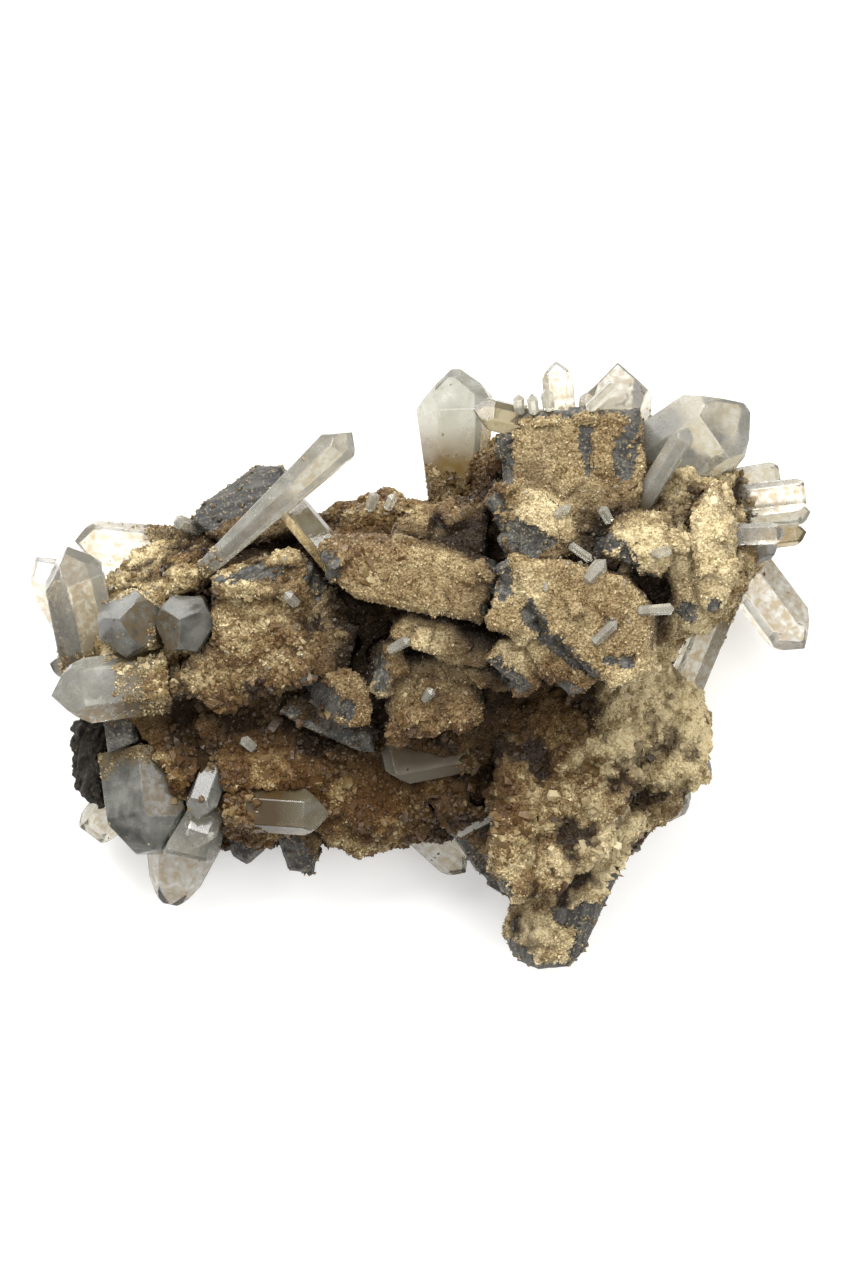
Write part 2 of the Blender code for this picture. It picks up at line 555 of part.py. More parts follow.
def main():
    for old in list(bpy.data.objects):
        bpy.data.objects.remove(old)
    cluster = collection_named(OBJECT_NAME)
    helpers = collection_named("cutters")
    materials = finish_materials()

    # Each crystal is cut back from the older ones that it meets, oldest first.
    parts = []
    cutters = []
    for crystal in QUARTZ + EPIDOTE:
        first, *more = crystal.cells()
        part = object_of(first, crystal.name, cluster)
        combine(part, "UNION", more, helpers)
        older = [m for m in cutters if boxes_meet(m, part.data)]
        combine(part, "DIFFERENCE", [m.copy() for m in older], helpers)
        keep_largest(part)
        cutters += crystal.cells(GAP)
        part.data.materials.clear()
        part.data.materials.append(materials[getattr(crystal, "finish", "quartz")])
        parts.append(part)

    mass = base_mass(cluster, helpers)
    combine(mass, "DIFFERENCE", [m for m in cutters if boxes_meet(m, mass.data)], helpers)
    keep_largest(mass)
    mass.data.materials.clear()
    mass.data.materials.append(materials["druse"])
    parts.append(mass)
    centre_on_base(parts)


main()
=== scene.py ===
"""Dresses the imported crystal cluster: drusy skin, bare epidote faces and clear quartz points.

Every length is in metres, except where its name ends in _mm or its class says millimetres, and
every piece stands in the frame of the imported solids. The shapes come from those solids: the dark
ones are given a finer skin and the quartz points softened edges, and a sugary druse of small
crystals is strewn over them by rule.
"""

import logging
import math
from collections.abc import Callable
from dataclasses import dataclass, field, fields
from enum import Enum
from functools import partial

import bpy
import numpy as np
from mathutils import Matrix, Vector
from mathutils.bvhtree import BVHTree

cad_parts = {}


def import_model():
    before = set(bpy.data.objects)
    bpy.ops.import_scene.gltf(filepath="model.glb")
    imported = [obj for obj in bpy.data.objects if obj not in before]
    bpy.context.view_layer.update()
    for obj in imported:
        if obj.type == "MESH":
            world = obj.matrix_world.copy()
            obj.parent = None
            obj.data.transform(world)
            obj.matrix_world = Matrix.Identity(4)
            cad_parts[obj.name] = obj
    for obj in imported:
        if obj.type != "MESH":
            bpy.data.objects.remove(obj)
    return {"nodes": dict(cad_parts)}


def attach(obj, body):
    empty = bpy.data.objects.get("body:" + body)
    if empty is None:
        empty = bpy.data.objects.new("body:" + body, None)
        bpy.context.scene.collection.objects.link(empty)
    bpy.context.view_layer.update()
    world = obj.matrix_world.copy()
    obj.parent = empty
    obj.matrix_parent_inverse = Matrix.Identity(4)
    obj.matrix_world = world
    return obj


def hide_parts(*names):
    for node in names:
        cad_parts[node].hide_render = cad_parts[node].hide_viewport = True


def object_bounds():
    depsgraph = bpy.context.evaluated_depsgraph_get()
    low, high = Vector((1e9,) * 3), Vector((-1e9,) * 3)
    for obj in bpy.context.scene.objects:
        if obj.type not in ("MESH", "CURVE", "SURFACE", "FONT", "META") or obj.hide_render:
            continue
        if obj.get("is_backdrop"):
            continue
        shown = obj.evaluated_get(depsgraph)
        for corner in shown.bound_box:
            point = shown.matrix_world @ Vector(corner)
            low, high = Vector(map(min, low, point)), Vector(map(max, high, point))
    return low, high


MM = 0.001
ROOT = "root"
DARK_NODES = "epidote_"
CLEAR_NODES = "quartz_"
MASS_NODE = "druse_matrix"
CRUST_NODE = "black_crust_lump"

# The lowest x and y of the cluster in the frame that the lists below use, in millimetres.
LIST_CORNER_MM = (-49.5, -38.2)

# The share of a quartz point's length over which the druse at its root thins out.
CLIMB_FADE = 0.08

# The share of the druse's grains that stray onto bare epidote and onto clean quartz.
STRAY_ON_FACES = 0.015
STRAY_ON_QUARTZ = 0.002

# How lumpy the druse at the root of a quartz point is, and how many times as dense as elsewhere.
ROOT_ROUGHNESS = 0.3
ROOT_DENSITY = 2.2

# The size of the quads in the plain skins that the crowding is learnt from.
PROBE_VOXEL = 0.9 * MM

# The rooted value of a crystal that has no druse on its root.
NEVER_ROOTED = -9.0

# Gives the share of druse, from 0 to 1, for places and the normals there.
Cover = Callable[[np.ndarray, np.ndarray], np.ndarray]

log = logging.getLogger("cluster")


class Habit(Enum):
    """How a quartz crystal looks."""

    CLEAR = "clear"
    CLOUDY = "cloudy"
    SMOKY = "smoky"
    STAINED = "stained"
    WATER = "water"
    MILKY = "milky"


@dataclass(frozen=True)
class Bare:
    """A bare stretch of crystal face in the druse, seen from above, in millimetres.

    It is all that lies within radius of the line from start to end.
    """

    start: tuple[float, float]
    end: tuple[float, float]
    radius: float


# From the left to the right of the cluster.
BARE_STRETCHES = (
    Bare((-38.6, -8.6), (-37.4, -8.4), 3.0),
    Bare((-27.2, 19.0), (-18.8, 23.4), 2.4),
    Bare((-24.8, 10.6), (-17.6, 11.8), 0.9),
    Bare((-13.2, 12.4), (-12.8, 9.4), 1.2),
    Bare((-11.4, 12.8), (-11.0, 11.8), 1.3),
    Bare((-13.6, -2.6), (-9.6, -5.6), 1.5),
    Bare((-16.6, -6.2), (-6.6, -10.2), 1.7),
    Bare((-17.0, -23.0), (-14.8, -26.0), 2.4),
    Bare((-23.0, -23.6), (-20.6, -23.8), 2.0),
    Bare((-4.8, 0.4), (-4.7, -2.6), 0.9),
    Bare((9.3, 18.6), (9.6, 12.8), 1.3),
    Bare((12.3, 15.9), (14.4, 15.4), 2.0),
    Bare((9.4, 20.6), (10.8, 16.6), 0.9),
    Bare((10.4, 12.0), (10.2, 8.8), 0.8),
    Bare((8.3, 7.4), (8.9, 10.0), 0.6),
    Bare((10.6, 28.2), (10.8, 23.2), 0.9),
    Bare((13.0, 32.0), (27.4, 32.0), 0.9),
    Bare((26.6, 31.0), (26.2, 28.0), 1.1),
    Bare((25.5, 27.4), (25.1, 24.4), 1.4),
    Bare((20.4, 29.6), (20.8, 24.0), 0.5),
    Bare((13.4, 6.8), (15.4, 3.8), 0.8),
    Bare((15.4, 3.8), (18.4, 1.2), 0.8),
    Bare((18.4, 1.2), (21.0, -0.6), 0.7),
    Bare((22.8, 0.8), (25.8, 0.4), 0.8),
    Bare((22.6, 15.2), (25.2, 15.0), 1.0),
    Bare((25.8, 12.8), (28.4, 10.6), 0.8),
    Bare((33.2, 6.8), (33.4, 6.0), 1.0),
    Bare((36.2, 7.4), (36.6, 6.4), 1.0),
    Bare((9.2, 0.2), (12.8, -2.5), 0.8),
    Bare((17.6, -2.6), (19.4, -3.6), 0.7),
    Bare((1.2, -20.6), (6.2, -23.6), 1.2),
    Bare((6.2, -23.6), (10.6, -29.2), 1.2),
    Bare((11.4, -35.0), (13.2, -37.4), 0.9),
    Bare((17.4, -31.7), (21.8, -30.9), 1.3),
    Bare((21.6, -31.6), (20.0, -36.4), 1.1),
    Bare((14.6, -38.0), (18.4, -38.0), 1.0),
    Bare((26.6, -23.4), (21.4, -34.6), 0.8),
)


@dataclass(frozen=True)
class Tone:
    """A stretch of druse that is drawn darker, below 0, or paler, above 0, seen from above in millimetres;
    over a hollow or under an overhang the darkening is partly painted shade.
    """

    x: float
    y: float
    radius: float
    shade: float


# Darker stretches in the low hollows and under the overhangs are partly painted shade, besides a darker
# druse.
TONES_AND_SHADE = (
    Tone(-21.0, -12.0, 11.0, -0.85),
    Tone(-9.0, -15.0, 8.0, -0.55),
    Tone(2.0, -15.0, 9.0, -0.85),
    Tone(15.0, -6.0, 7.0, -0.90),
    Tone(5.0, -4.0, 5.0, -0.12),
    Tone(1.0, 3.0, 4.0, 0.25),
    Tone(15.0, -16.0, 6.0, -0.40),
    Tone(-14.0, 3.0, 6.0, -0.25),
    Tone(-24.0, -7.0, 4.5, -0.50),
    Tone(-24.0, 0.0, 6.0, 0.15),
    Tone(-9.0, 18.0, 6.0, -0.50),
    Tone(7.5, 24.0, 4.0, -1.00),
    Tone(12.6, 9.0, 4.0, 0.55),
    Tone(17.0, 4.0, 5.0, 0.25),
    Tone(26.8, 14.0, 3.5, 1.05),
    Tone(15.0, 18.6, 3.5, 0.95),
    Tone(12.0, 1.0, 3.0, 0.80),
    Tone(35.5, 12.0, 6.0, 0.80),
    Tone(33.0, 22.0, 7.0, 0.80),
    Tone(31.0, -7.0, 8.5, 1.30),
    Tone(16.0, 27.0, 6.5, 0.40),
    Tone(20.0, 18.0, 5.0, 0.30),
    Tone(20.0, -9.0, 5.0, 0.30),
    Tone(36.0, 3.0, 5.0, 0.90),
    Tone(20.0, -20.0, 9.0, 0.55),
    Tone(16.0, -35.0, 5.0, 0.90),
    Tone(24.0, -27.0, 3.5, 0.80),
    Tone(-35.0, 11.5, 5.0, 0.70),
    Tone(-36.0, 1.0, 4.0, 0.60),
)


@dataclass(frozen=True)
class Quartz:
    """The look of one quartz node.

    pointing is the way from its root to its tip, in millimetres. climb and stained are the shares of
    its length, from the root, that druse grains and the rusty stain reach. The facets that look
    along dusty are coated with rusty dust.
    """

    node: str
    pointing: tuple[float, float, float]
    habit: Habit = Habit.CLEAR
    climb: float = 0.25
    dusty: tuple[float, float, float] = (0.0, 0.0, -1.0)
    stained: float = 0.35


QUARTZ = (
    Quartz("quartz_long_point", (18.7, 17.2, 6.0), Habit.CLOUDY, 0.05, stained=0.08),
    Quartz("quartz_strut", (-8.0, 9.6, -6.0), Habit.STAINED, 0.10, (-0.8, -0.6, 0.2), 0.3),
    Quartz("quartz_left_cloudy", (-14.4, -2.0, 1.0), Habit.CLOUDY, 0.40, (0.0, -1.0, 0.0), 0.5),
    Quartz("quartz_eye_left", (-3.4, 1.6, 14.5), Habit.SMOKY, 0.66, (1.0, 0.3, 0.5), 0.6),
    Quartz("quartz_eye_right", (-1.9, 1.5, 14.0), Habit.SMOKY, 0.58, (-1.0, -0.4, 0.5), 0.6),
    Quartz("quartz_left_upright", (-3.4, 18.2, 6.5), Habit.CLEAR, 0.32, stained=0.22),
    Quartz("quartz_left_upper", (-16.6, 1.5, 1.5), Habit.CLEAR, 0.50),
    Quartz("quartz_far_left", (-7.6, 12.5, 2.5), Habit.WATER, 0.10),
    Quartz("quartz_left_bud", (-5.1, 1.2, 0.5), Habit.SMOKY, 0.20),
    Quartz("quartz_grey_block", (1.3, -14.1, 2.8), Habit.SMOKY, 0.14, (0.5, 0.75, 0.45), 0.25),
    Quartz("quartz_grey_bud", (-2.4, -7.0, 3.0), Habit.SMOKY, 0.25),
    Quartz("quartz_lower_ledge", (-2.5, -11.4, -0.5), Habit.CLOUDY, 0.45),
    Quartz("quartz_lower_bud", (-2.4, -6.4, 2.5), Habit.CLEAR, 0.30),
    Quartz("quartz_lower_tip", (-3.2, -15.9, 0.0), Habit.WATER, 0.20),
    Quartz("quartz_low_left", (-5.6, -7.6, -0.5), Habit.CLEAR, 0.20),
    Quartz("quartz_low_centre", (12.8, -0.8, 2.5), Habit.STAINED, 0.30, (0.0, 1.0, -0.3), 0.75),
    Quartz("quartz_grey_slab", (-12.1, -2.4, 1.8), Habit.SMOKY, 0.22, (0.0, -0.2, -1.0), 1.1),
    Quartz("quartz_foot_left", (8.9, -8.2, -0.5), Habit.CLEAR, 0.25),
    Quartz("quartz_sceptre", (-0.1, 22.6, 3.5), Habit.CLOUDY, 0.42, (1.0, -0.5, 0.3), 0.72),
    Quartz("quartz_stained_cap", (-9.9, 2.3, 3.2), Habit.STAINED, 0.25, (-1.0, -0.3, 0.2)),
    Quartz("quartz_top_small", (-0.9, 10.9, 2.0), Habit.CLEAR, 0.40),
    Quartz("quartz_top_white", (0.6, 9.8, 7.0), Habit.CLEAR, 0.35),
    Quartz("quartz_big_right", (14.9, 9.8, 4.0), Habit.CLOUDY, 0.22),
    Quartz("quartz_big_right_prism", (6.8, 11.2, 3.5), Habit.CLOUDY, 0.10),
    Quartz("quartz_comb_top", (10.0, 1.8, 0.0), Habit.CLOUDY, 0.45),
    Quartz("quartz_comb_blunt", (12.1, 1.5, 0.0), Habit.CLEAR, 0.35),
    Quartz("quartz_comb_middle", (12.8, 1.1, -1.0), Habit.CLOUDY, 0.40),
    Quartz("quartz_comb_clear", (11.2, 0.3, -0.5), Habit.CLEAR, 0.40),
    Quartz("quartz_comb_low", (10.9, 1.4, 0.0), Habit.STAINED, 0.45),
    Quartz("quartz_comb_grey", (6.4, 2.6, 2.0), Habit.SMOKY, 0.30),
    Quartz("quartz_right_arm", (10.8, -14.3, -1.5), Habit.WATER, 0.22),
    Quartz("quartz_right_edge", (-6.6, -16.0, -1.0), Habit.CLEAR, 0.35),
    Quartz("quartz_right_spike", (7.5, -2.7, -1.5), Habit.CLOUDY, 0.60),
    Quartz("quartz_right_foot", (6.0, -12.0, -0.5), Habit.CLOUDY, 0.50),
)


@dataclass(frozen=True)
class Needle:
    """A small quartz needle that lies on the druse, seen from above, in millimetres.

    rise is how far its end is lifted off what lies under it.
    """

    start: tuple[float, float]
    end: tuple[float, float]
    width: float
    rise: float = 0.9


NEEDLES = (
    Needle((15.2, 9.0), (15.9, 12.3), 1.3),
    Needle((21.2, 2.7), (24.3, 5.7), 1.5),
    Needle((18.4, 15.1), (21.3, 13.0), 1.3),
    Needle((26.6, 6.8), (31.3, 7.1), 1.4),
    Needle((20.2, 10.2), (22.9, 13.2), 2.0),
    Needle((16.5, 18.4), (18.7, 19.8), 1.4),
    Needle((28.4, 13.8), (31.0, 14.3), 1.3),
    Needle((-4.0, 1.8), (-1.2, 3.4), 1.4),
    Needle((0.4, -4.4), (1.6, -2.8), 1.4),
    Needle((4.6, -21.4), (9.8, -18.7), 1.5),
    Needle((20.6, 31.6), (24.2, 35.0), 1.6),
    Needle((12.4, 31.0), (12.2, 33.7), 1.6),
    Needle((14.2, 31.0), (13.8, 33.8), 1.6),
    Needle((16.0, 31.4), (15.6, 34.3), 1.8),
    Needle((-27.6, 16.8), (-30.6, 18.3), 1.9),
    Needle((-6.4, 19.2), (-5.6, 21.8), 1.5),
    Needle((-4.2, 19.4), (-3.2, 21.6), 1.4),
    Needle((-15.2, 7.6), (-16.8, 9.2), 1.6),
    Needle((-20.6, -10.6), (-22.4, -9.0), 1.6),
    Needle((23.6, 17.6), (22.4, 19.8), 1.5),
)


def lattice_numbers(at: np.ndarray, seed: int) -> np.ndarray:
    """A whole number for each point of a cubic lattice, the same in each run."""
    return (at[:, 0] * 73856093) ^ (at[:, 1] * 19349663) ^ (at[:, 2] * 83492791) ^ (seed * 2654435761)


def scrambled(numbers: np.ndarray) -> np.ndarray:
    """Whole numbers with their bits mixed once more."""
    return (numbers ^ (numbers >> 13)) * 1274126177 & 0xFFFFFFFF


def corner_weights(part: np.ndarray, corner: tuple[int, ...]) -> np.ndarray:
    """How much one corner of a lattice cell counts at places part of the way across it."""
    return np.prod(np.where(np.array(corner) == 1, part, 1 - part), axis=1)


def noise_field(points: np.ndarray, scale: float, seed: int) -> np.ndarray:
    """Smooth value noise: random numbers on a cubic lattice, blended with a smoothstep.

    Args:
        points: Places, (n, 3), in metres.
        scale: Lattice spacing in metres.
        seed: Chooses the lattice's numbers.

    Returns:
        One value per place, from -1 to 1.
    """
    where = points / scale + 1000.0 + 17.31 * seed
    cell = np.floor(where).astype(np.int64)
    part = where - cell
    part = part * part * (3 - 2 * part)
    total = np.zeros(len(points))
    for corner in np.ndindex(2, 2, 2):
        mixed = scrambled(lattice_numbers(cell + corner, seed))
        value = ((mixed ^ (mixed >> 16)) & 0xFFFF) / 32767.5 - 1
        total += value * corner_weights(part, corner)
    return total


def cell_field(points: np.ndarray, scale: float, seed: int) -> np.ndarray:
    """Bumps like packed crystals: 1 minus the distance to the nearest jittered lattice point.

    Args:
        points: Places, (n, 3), in metres.
        scale: Lattice spacing in metres.
        seed: Chooses the jitter.

    Returns:
        One value per place, about 0 between bumps and 1 on a bump's top.
    """
    where = points / scale + 1000.0
    cell = np.floor(where).astype(np.int64)
    nearest = np.full(len(points), 9.0)
    for offset in np.ndindex(3, 3, 3):
        at = cell + offset - 1
        mixed = lattice_numbers(at, seed)
        jitter = np.empty((len(points), 3))
        for axis in range(3):
            mixed = scrambled(mixed)
            jitter[:, axis] = (mixed & 0xFFFF) / 65535.0
        nearest = np.minimum(nearest, np.linalg.norm(at + jitter - where, axis=1))
    return 1 - nearest


def unit(vectors: np.ndarray) -> np.ndarray:
    """Each row scaled to length 1."""
    return vectors / np.maximum(np.linalg.norm(vectors, axis=1, keepdims=True), 1e-12)


def mesh_from_arrays(name: str, points: np.ndarray, faces: np.ndarray) -> bpy.types.Mesh:
    """A mesh of equal-sided flat faces, filled from whole arrays.

    Args:
        name: The mesh's name.
        points: Corners, (n, 3), in metres.
        faces: Corner numbers, (m, sides), anticlockwise seen from outside.

    Returns:
        The new mesh.
    """
    mesh = bpy.data.meshes.new(name)
    count, sides = faces.shape
    mesh.vertices.add(len(points))
    mesh.vertices.foreach_set("co", points.astype(np.float32).ravel())
    mesh.loops.add(count * sides)
    mesh.loops.foreach_set("vertex_index", faces.astype(np.int32).ravel())
    mesh.polygons.add(count)
    mesh.polygons.foreach_set("loop_start", np.arange(0, count * sides, sides, dtype=np.int32))
    mesh.update(calc_edges=True)
    mesh.validate()
    mesh.shade_flat()
    return mesh


def set_attribute(mesh: bpy.types.Mesh, name: str, values: np.ndarray) -> None:
    """Stores one number or one vector per vertex under a name that materials read.

    Args:
        mesh: The mesh that gets the attribute.
        name: The attribute's name.
        values: Numbers, (n,), or vectors, (n, 3).
    """
    if values.ndim == 1:
        layer = mesh.attributes.new(name, "FLOAT", "POINT")
        layer.data.foreach_set("value", values.astype(np.float32))
    else:
        layer = mesh.attributes.new(name, "FLOAT_VECTOR", "POINT")
        layer.data.foreach_set("vector", values.astype(np.float32).ravel())


def set_face_attribute(mesh: bpy.types.Mesh, name: str, values: np.ndarray) -> None:
    """Stores one number per face under a name that materials read."""
    mesh.attributes.new(name, "FLOAT", "FACE").data.foreach_set("value", values.astype(np.float32))


def set_per_crystal(mesh: bpy.types.Mesh, corners: int, **values: np.ndarray) -> None:
    """Stores, under each keyword, the numbers that all the corners of one small crystal share."""
    for name, numbers in values.items():
        set_attribute(mesh, name, np.repeat(numbers, corners))


def rise_along(points: np.ndarray, body: np.ndarray, along: np.ndarray) -> np.ndarray:
    """How far each place lies from a body's root, 0, to its tip, 1, along a direction.

    Args:
        points: Places in metres.
        body: The body's own vertices.
        along: The direction from root to tip, of any length.

    Returns:
        The share of the body's length, (n,).
    """
    axis = along / np.linalg.norm(along)
    run = body @ axis
    return (points @ axis - run.min()) / np.ptp(run)


def vertex_arrays(mesh: bpy.types.Mesh) -> tuple[np.ndarray, np.ndarray]:
    """The places and the normals of a mesh's vertices.

    Args:
        mesh: The mesh to read.

    Returns:
        The places and the normals, (n, 3) each.
    """
    points = np.empty(len(mesh.vertices) * 3, np.float32)
    mesh.vertices.foreach_get("co", points)
    normals = np.empty(len(mesh.vertices) * 3, np.float32)
    mesh.vertex_normals.foreach_get("vector", normals)
    return points.reshape(-1, 3).astype(float), normals.reshape(-1, 3).astype(float)


def show(mesh: bpy.types.Mesh, name: str, material: bpy.types.Material) -> bpy.types.Object:
    """Links a mesh to the scene as a named object with one material.

    Args:
        mesh: The mesh.
        name: The object's name.
        material: Its finish.

    Returns:
        The object.
    """
    mesh.materials.clear()
    mesh.materials.append(material)
    piece = bpy.data.objects.new(name, mesh)
    bpy.context.scene.collection.objects.link(piece)
    return piece


def add_piece(mesh: bpy.types.Mesh, name: str, material: bpy.types.Material,
              node: str | None = None) -> bpy.types.Object:
    """Makes a mesh a piece of the cluster.

    Args:
        mesh: The piece's mesh.
        name: The piece's name.
        material: Its finish.
        node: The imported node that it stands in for, or None for a piece that is added.

    Returns:
        The piece.
    """
    piece = show(mesh, name, material)
    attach(piece, ROOT)
    if node is not None:
        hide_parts(node)
    return piece


def finished_mesh(piece: bpy.types.Object) -> bpy.types.Mesh:
    """A new mesh of the piece with its modifiers applied."""
    graph = bpy.context.evaluated_depsgraph_get()
    return bpy.data.meshes.new_from_object(piece.evaluated_get(graph))


def merged_copy(node: bpy.types.Object, name: str) -> bpy.types.Object:
    """A helper object with a copy of a node's mesh, its loose triangles joined up.

    Args:
        node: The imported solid's object.
        name: The helper's name.

    Returns:
        The helper, at the origin and without a material.
    """
    mesh = node.data.copy()
    mesh.materials.clear()
    helper = bpy.data.objects.new(name, mesh)
    bpy.context.scene.collection.objects.link(helper)
    weld = helper.modifiers.new("Weld", "WELD")
    weld.merge_threshold = 0.00002
    joined = finished_mesh(helper)
    helper.modifiers.clear()
    helper.data = joined
    return helper


def fine_skin(node: bpy.types.Object, name: str, voxel: float, flat: bool) -> bpy.types.Mesh:
    """An even skin of small quads over a node's solid.

    Args:
        node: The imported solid's object.
        name: The mesh's name.
        voxel: Size of the quads in metres.
        flat: Pulls the skin back onto the solid's own faces, which keeps them flat.

    Returns:
        The skin, without a material.
    """
    helper = merged_copy(node, name)
    guide = helper.copy()
    guide.data = helper.data.copy()
    bpy.context.scene.collection.objects.link(guide)
    remesh = helper.modifiers.new("Skin", "REMESH")
    remesh.mode = "VOXEL"
    remesh.voxel_size = voxel
    if flat:
        pull = helper.modifiers.new("Pull", "SHRINKWRAP")
        pull.wrap_method = "NEAREST_SURFACEPOINT"
        pull.target = guide
    mesh = finished_mesh(helper)
    bpy.data.objects.remove(helper)
    bpy.data.objects.remove(guide)
    mesh.name = name
    return mesh


@dataclass
class Crowding:
    """How hemmed in a place is: the share of nearby space cells that hold some crystal surface.

    Ridges and tips score low and deep clefts score high, whichever way they face. It is read
    cells_out cells outside a surface, where a share up to open_share counts as open, and one higher
    by hemmed_span as fully hemmed in.
    """

    cell: float = 1.2 * MM
    reach: int = 3
    cells_out: float = 1.6
    open_share: float = 0.10
    hemmed_span: float = 0.22
    spread: np.ndarray = field(default_factory=lambda: np.zeros((1, 1, 1)))
    corner: np.ndarray = field(default_factory=lambda: np.zeros(3))

    def learn(self, points: np.ndarray) -> None:
        """Marks the cells that the points fall in and blurs the marks with a sliding box, twice.

        Args:
            points: Places on every opaque surface, in metres.
        """
        self.corner = points.min(axis=0) - (2 * self.reach + 2) * self.cell
        size = np.ceil((points.max(axis=0) - self.corner) / self.cell).astype(int) + 2 * self.reach + 4
        grid = np.zeros(size)
        grid[tuple(np.floor((points - self.corner) / self.cell).astype(int).T)] = 1.0
        width = 2 * self.reach + 1
        for _ in range(2):
            for axis in range(3):
                total = np.cumsum(np.insert(grid, 0, 0.0, axis=axis), axis=axis)
                high = np.take(total, range(width, total.shape[axis]), axis=axis)
                low = np.take(total, range(0, total.shape[axis] - width), axis=axis)
                pad = [(0, 0)] * 3
                pad[axis] = (self.reach, self.reach)
                grid = np.pad((high - low) / width, pad)
        self.spread = grid

    def at(self, points: np.ndarray, normals: np.ndarray) -> np.ndarray:
        """The crowding just outside a surface, blended between the eight nearest cells.

        Args:
            points: Places on the surface, in metres.
            normals: The surface's normals there.

        Returns:
            The crowding, about 0 on open ridges and 1 in clefts.
        """
        where = (points + self.cells_out * self.cell * normals - self.corner) / self.cell - 0.5
        low = np.clip(np.floor(where).astype(int), 0, np.array(self.spread.shape) - 2)
        part = np.clip(where - low, 0, 1)
        total = np.zeros(len(points))
        for corner in np.ndindex(2, 2, 2):
            total += corner_weights(part, corner) * self.spread[tuple((low + corner).T)]
        return np.clip((total - self.open_share) / self.hemmed_span, 0, 1)


def coat_share(points: np.ndarray, normals: np.ndarray, shift: np.ndarray) -> np.ndarray:
    """How much druse covers each place of the epidote: 1 where coated and 0 where bare.

    A bare stretch is the strip within its radius of a line, seen from above, and its edge wanders by
    smooth noise. Steep faces carry the druse in patches only, and small specks of it lie on the
    bare stretches.

    Args:
        points: Places on a skin, in metres.
        normals: The skin's normals there.
        shift: Where the lists' own origin lies in the frame, in metres.

    Returns:
        The cover, from the few stray grains of a bare face to 1.
    """
    flat = points[:, :2] - shift[:2]
    reach = np.full(len(points), 9.0)
    for bare in BARE_STRETCHES:
        start, end = np.array(bare.start) * MM, np.array(bare.end) * MM
        along = end - start
        share = np.clip((flat - start) @ along / (along @ along), 0, 1)
        away = np.linalg.norm(flat - start - share[:, None] * along, axis=1)
        reach = np.minimum(reach, (away - bare.radius * MM) / MM)
    wander = 0.70 * noise_field(points, 1.7 * MM, 3) + 0.55 * noise_field(points, 0.45 * MM, 4)
    cover = np.clip((reach + wander) / 0.45 + 0.5, 0, 1)
    specks = noise_field(points, 0.40 * MM, 5) + 0.5 * noise_field(points, 2.4 * MM, 6)
    cover = np.maximum(cover, np.clip((specks - 0.72) / 0.1, 0, 1))
    patches = noise_field(points, 3.5 * MM, 7) + 0.5 * noise_field(points, 0.8 * MM, 8)
    patchy = np.clip(patches / 0.2 + 1.6, 0, 1)
    steep = np.clip((0.30 - normals[:, 2]) / 0.2, 0, 1)
    cover *= 1 - steep * (1 - patchy)
    return np.clip(cover * 1.2 - 0.1, STRAY_ON_FACES, 1)


def lump_field(points: np.ndarray) -> np.ndarray:
    """Lumps of two sizes with pits between them, from about -1 in a pit to 1 on a lump."""
    lumps = 0.7 * noise_field(points, 3.2 * MM, 17) + 0.55 * cell_field(points, 2.1 * MM, 12)
    return lumps + 0.45 * cell_field(points, 1.2 * MM, 19) - 0.48


def tone_at(points: np.ndarray, shift: np.ndarray, rough: float) -> np.ndarray:
    """How pale the druse is drawn: the sum of flat-topped bells over the listed stretches, partly painted
    shade where they lie dark over hollows, and a mottle.

    Args:
        points: Places in metres.
        shift: Where the lists' own origin lies in the frame, in metres.
        rough: How lumpy and mottled the skin is, 1 being as much as the base mass.

    Returns:
        The tone at each place, below 0 where dark and above 0 where pale.
    """
    flat = (points[:, :2] - shift[:2]) / MM
    total = np.zeros(len(points))
    for tone in TONES_AND_SHADE:
        away = np.linalg.norm(flat - (tone.x, tone.y), axis=1) / tone.radius
        total += tone.shade * np.exp(-(away**4))
    mottle = noise_field(points, 2.6 * MM, 15) + 0.9 * noise_field(points, 1.1 * MM, 18)
    return np.clip(total + (0.15 + 0.55 * rough) * mottle, -1.3, 1.4)


def stain_at(points: np.ndarray, normals: np.ndarray, tone: np.ndarray, crowding: Crowding,
             rough: float) -> np.ndarray:
    """How dark a place is drawn, as a stain and as painted shade.

    It is dark where other crystals hem it in and in the pits between lumps, as painted shade of
    clefts and pits and partly as a rusty stain, and less so where the druse is pale.

    Args:
        points: Places in metres.
        normals: The surface's normals there.
        tone: How pale the druse is there.
        crowding: How hemmed in each place is.
        rough: How lumpy the skin is, 1 being as lumpy as the base mass.

    Returns:
        The stain with its painted shade, from 0 to 1.
    """
    # Painted shade, partly a stain: darker in the pits between lumps and in the hemmed-in clefts.
    pits = np.clip(-1.8 * lump_field(points) - 0.20, 0, 0.85)
    pale = np.clip(tone, 0, 1)
    hemmed = crowding.at(points, normals) * (1 - 0.55 * pale)
    return np.clip(hemmed + rough * pits * (1 - 0.30 * pale), 0, 1)


def kept_inside(points: np.ndarray, box: tuple[Vector, Vector]) -> np.ndarray:
    """The places moved back to the box wherever they pass it."""
    return np.clip(points, np.array(box[0]), np.array(box[1]))


@dataclass
class Setting:
    """What the pieces are fitted to.

    box holds the lowest and highest corner that nothing may pass, and shift says where the lists'
    own origin lies in the frame, in metres.
    """

    box: tuple[Vector, Vector]
    shift: np.ndarray
    crowding: Crowding

    def colouring(self, points: np.ndarray, normals: np.ndarray,
                  rough: float) -> tuple[np.ndarray, np.ndarray]:
        """The druse's tone and its stain with painted shade at each place."""
        tone = tone_at(points, self.shift, rough)
        return tone, stain_at(points, normals, tone, self.crowding, rough)

    def push_out(self, mesh: bpy.types.Mesh, points: np.ndarray, normals: np.ndarray,
                 lift: np.ndarray) -> None:
        """Moves a skin's vertices along their normals, but never past the box."""
        moved = kept_inside(points + normals * lift[:, None], self.box)
        mesh.vertices.foreach_set("co", moved.astype(np.float32).ravel())


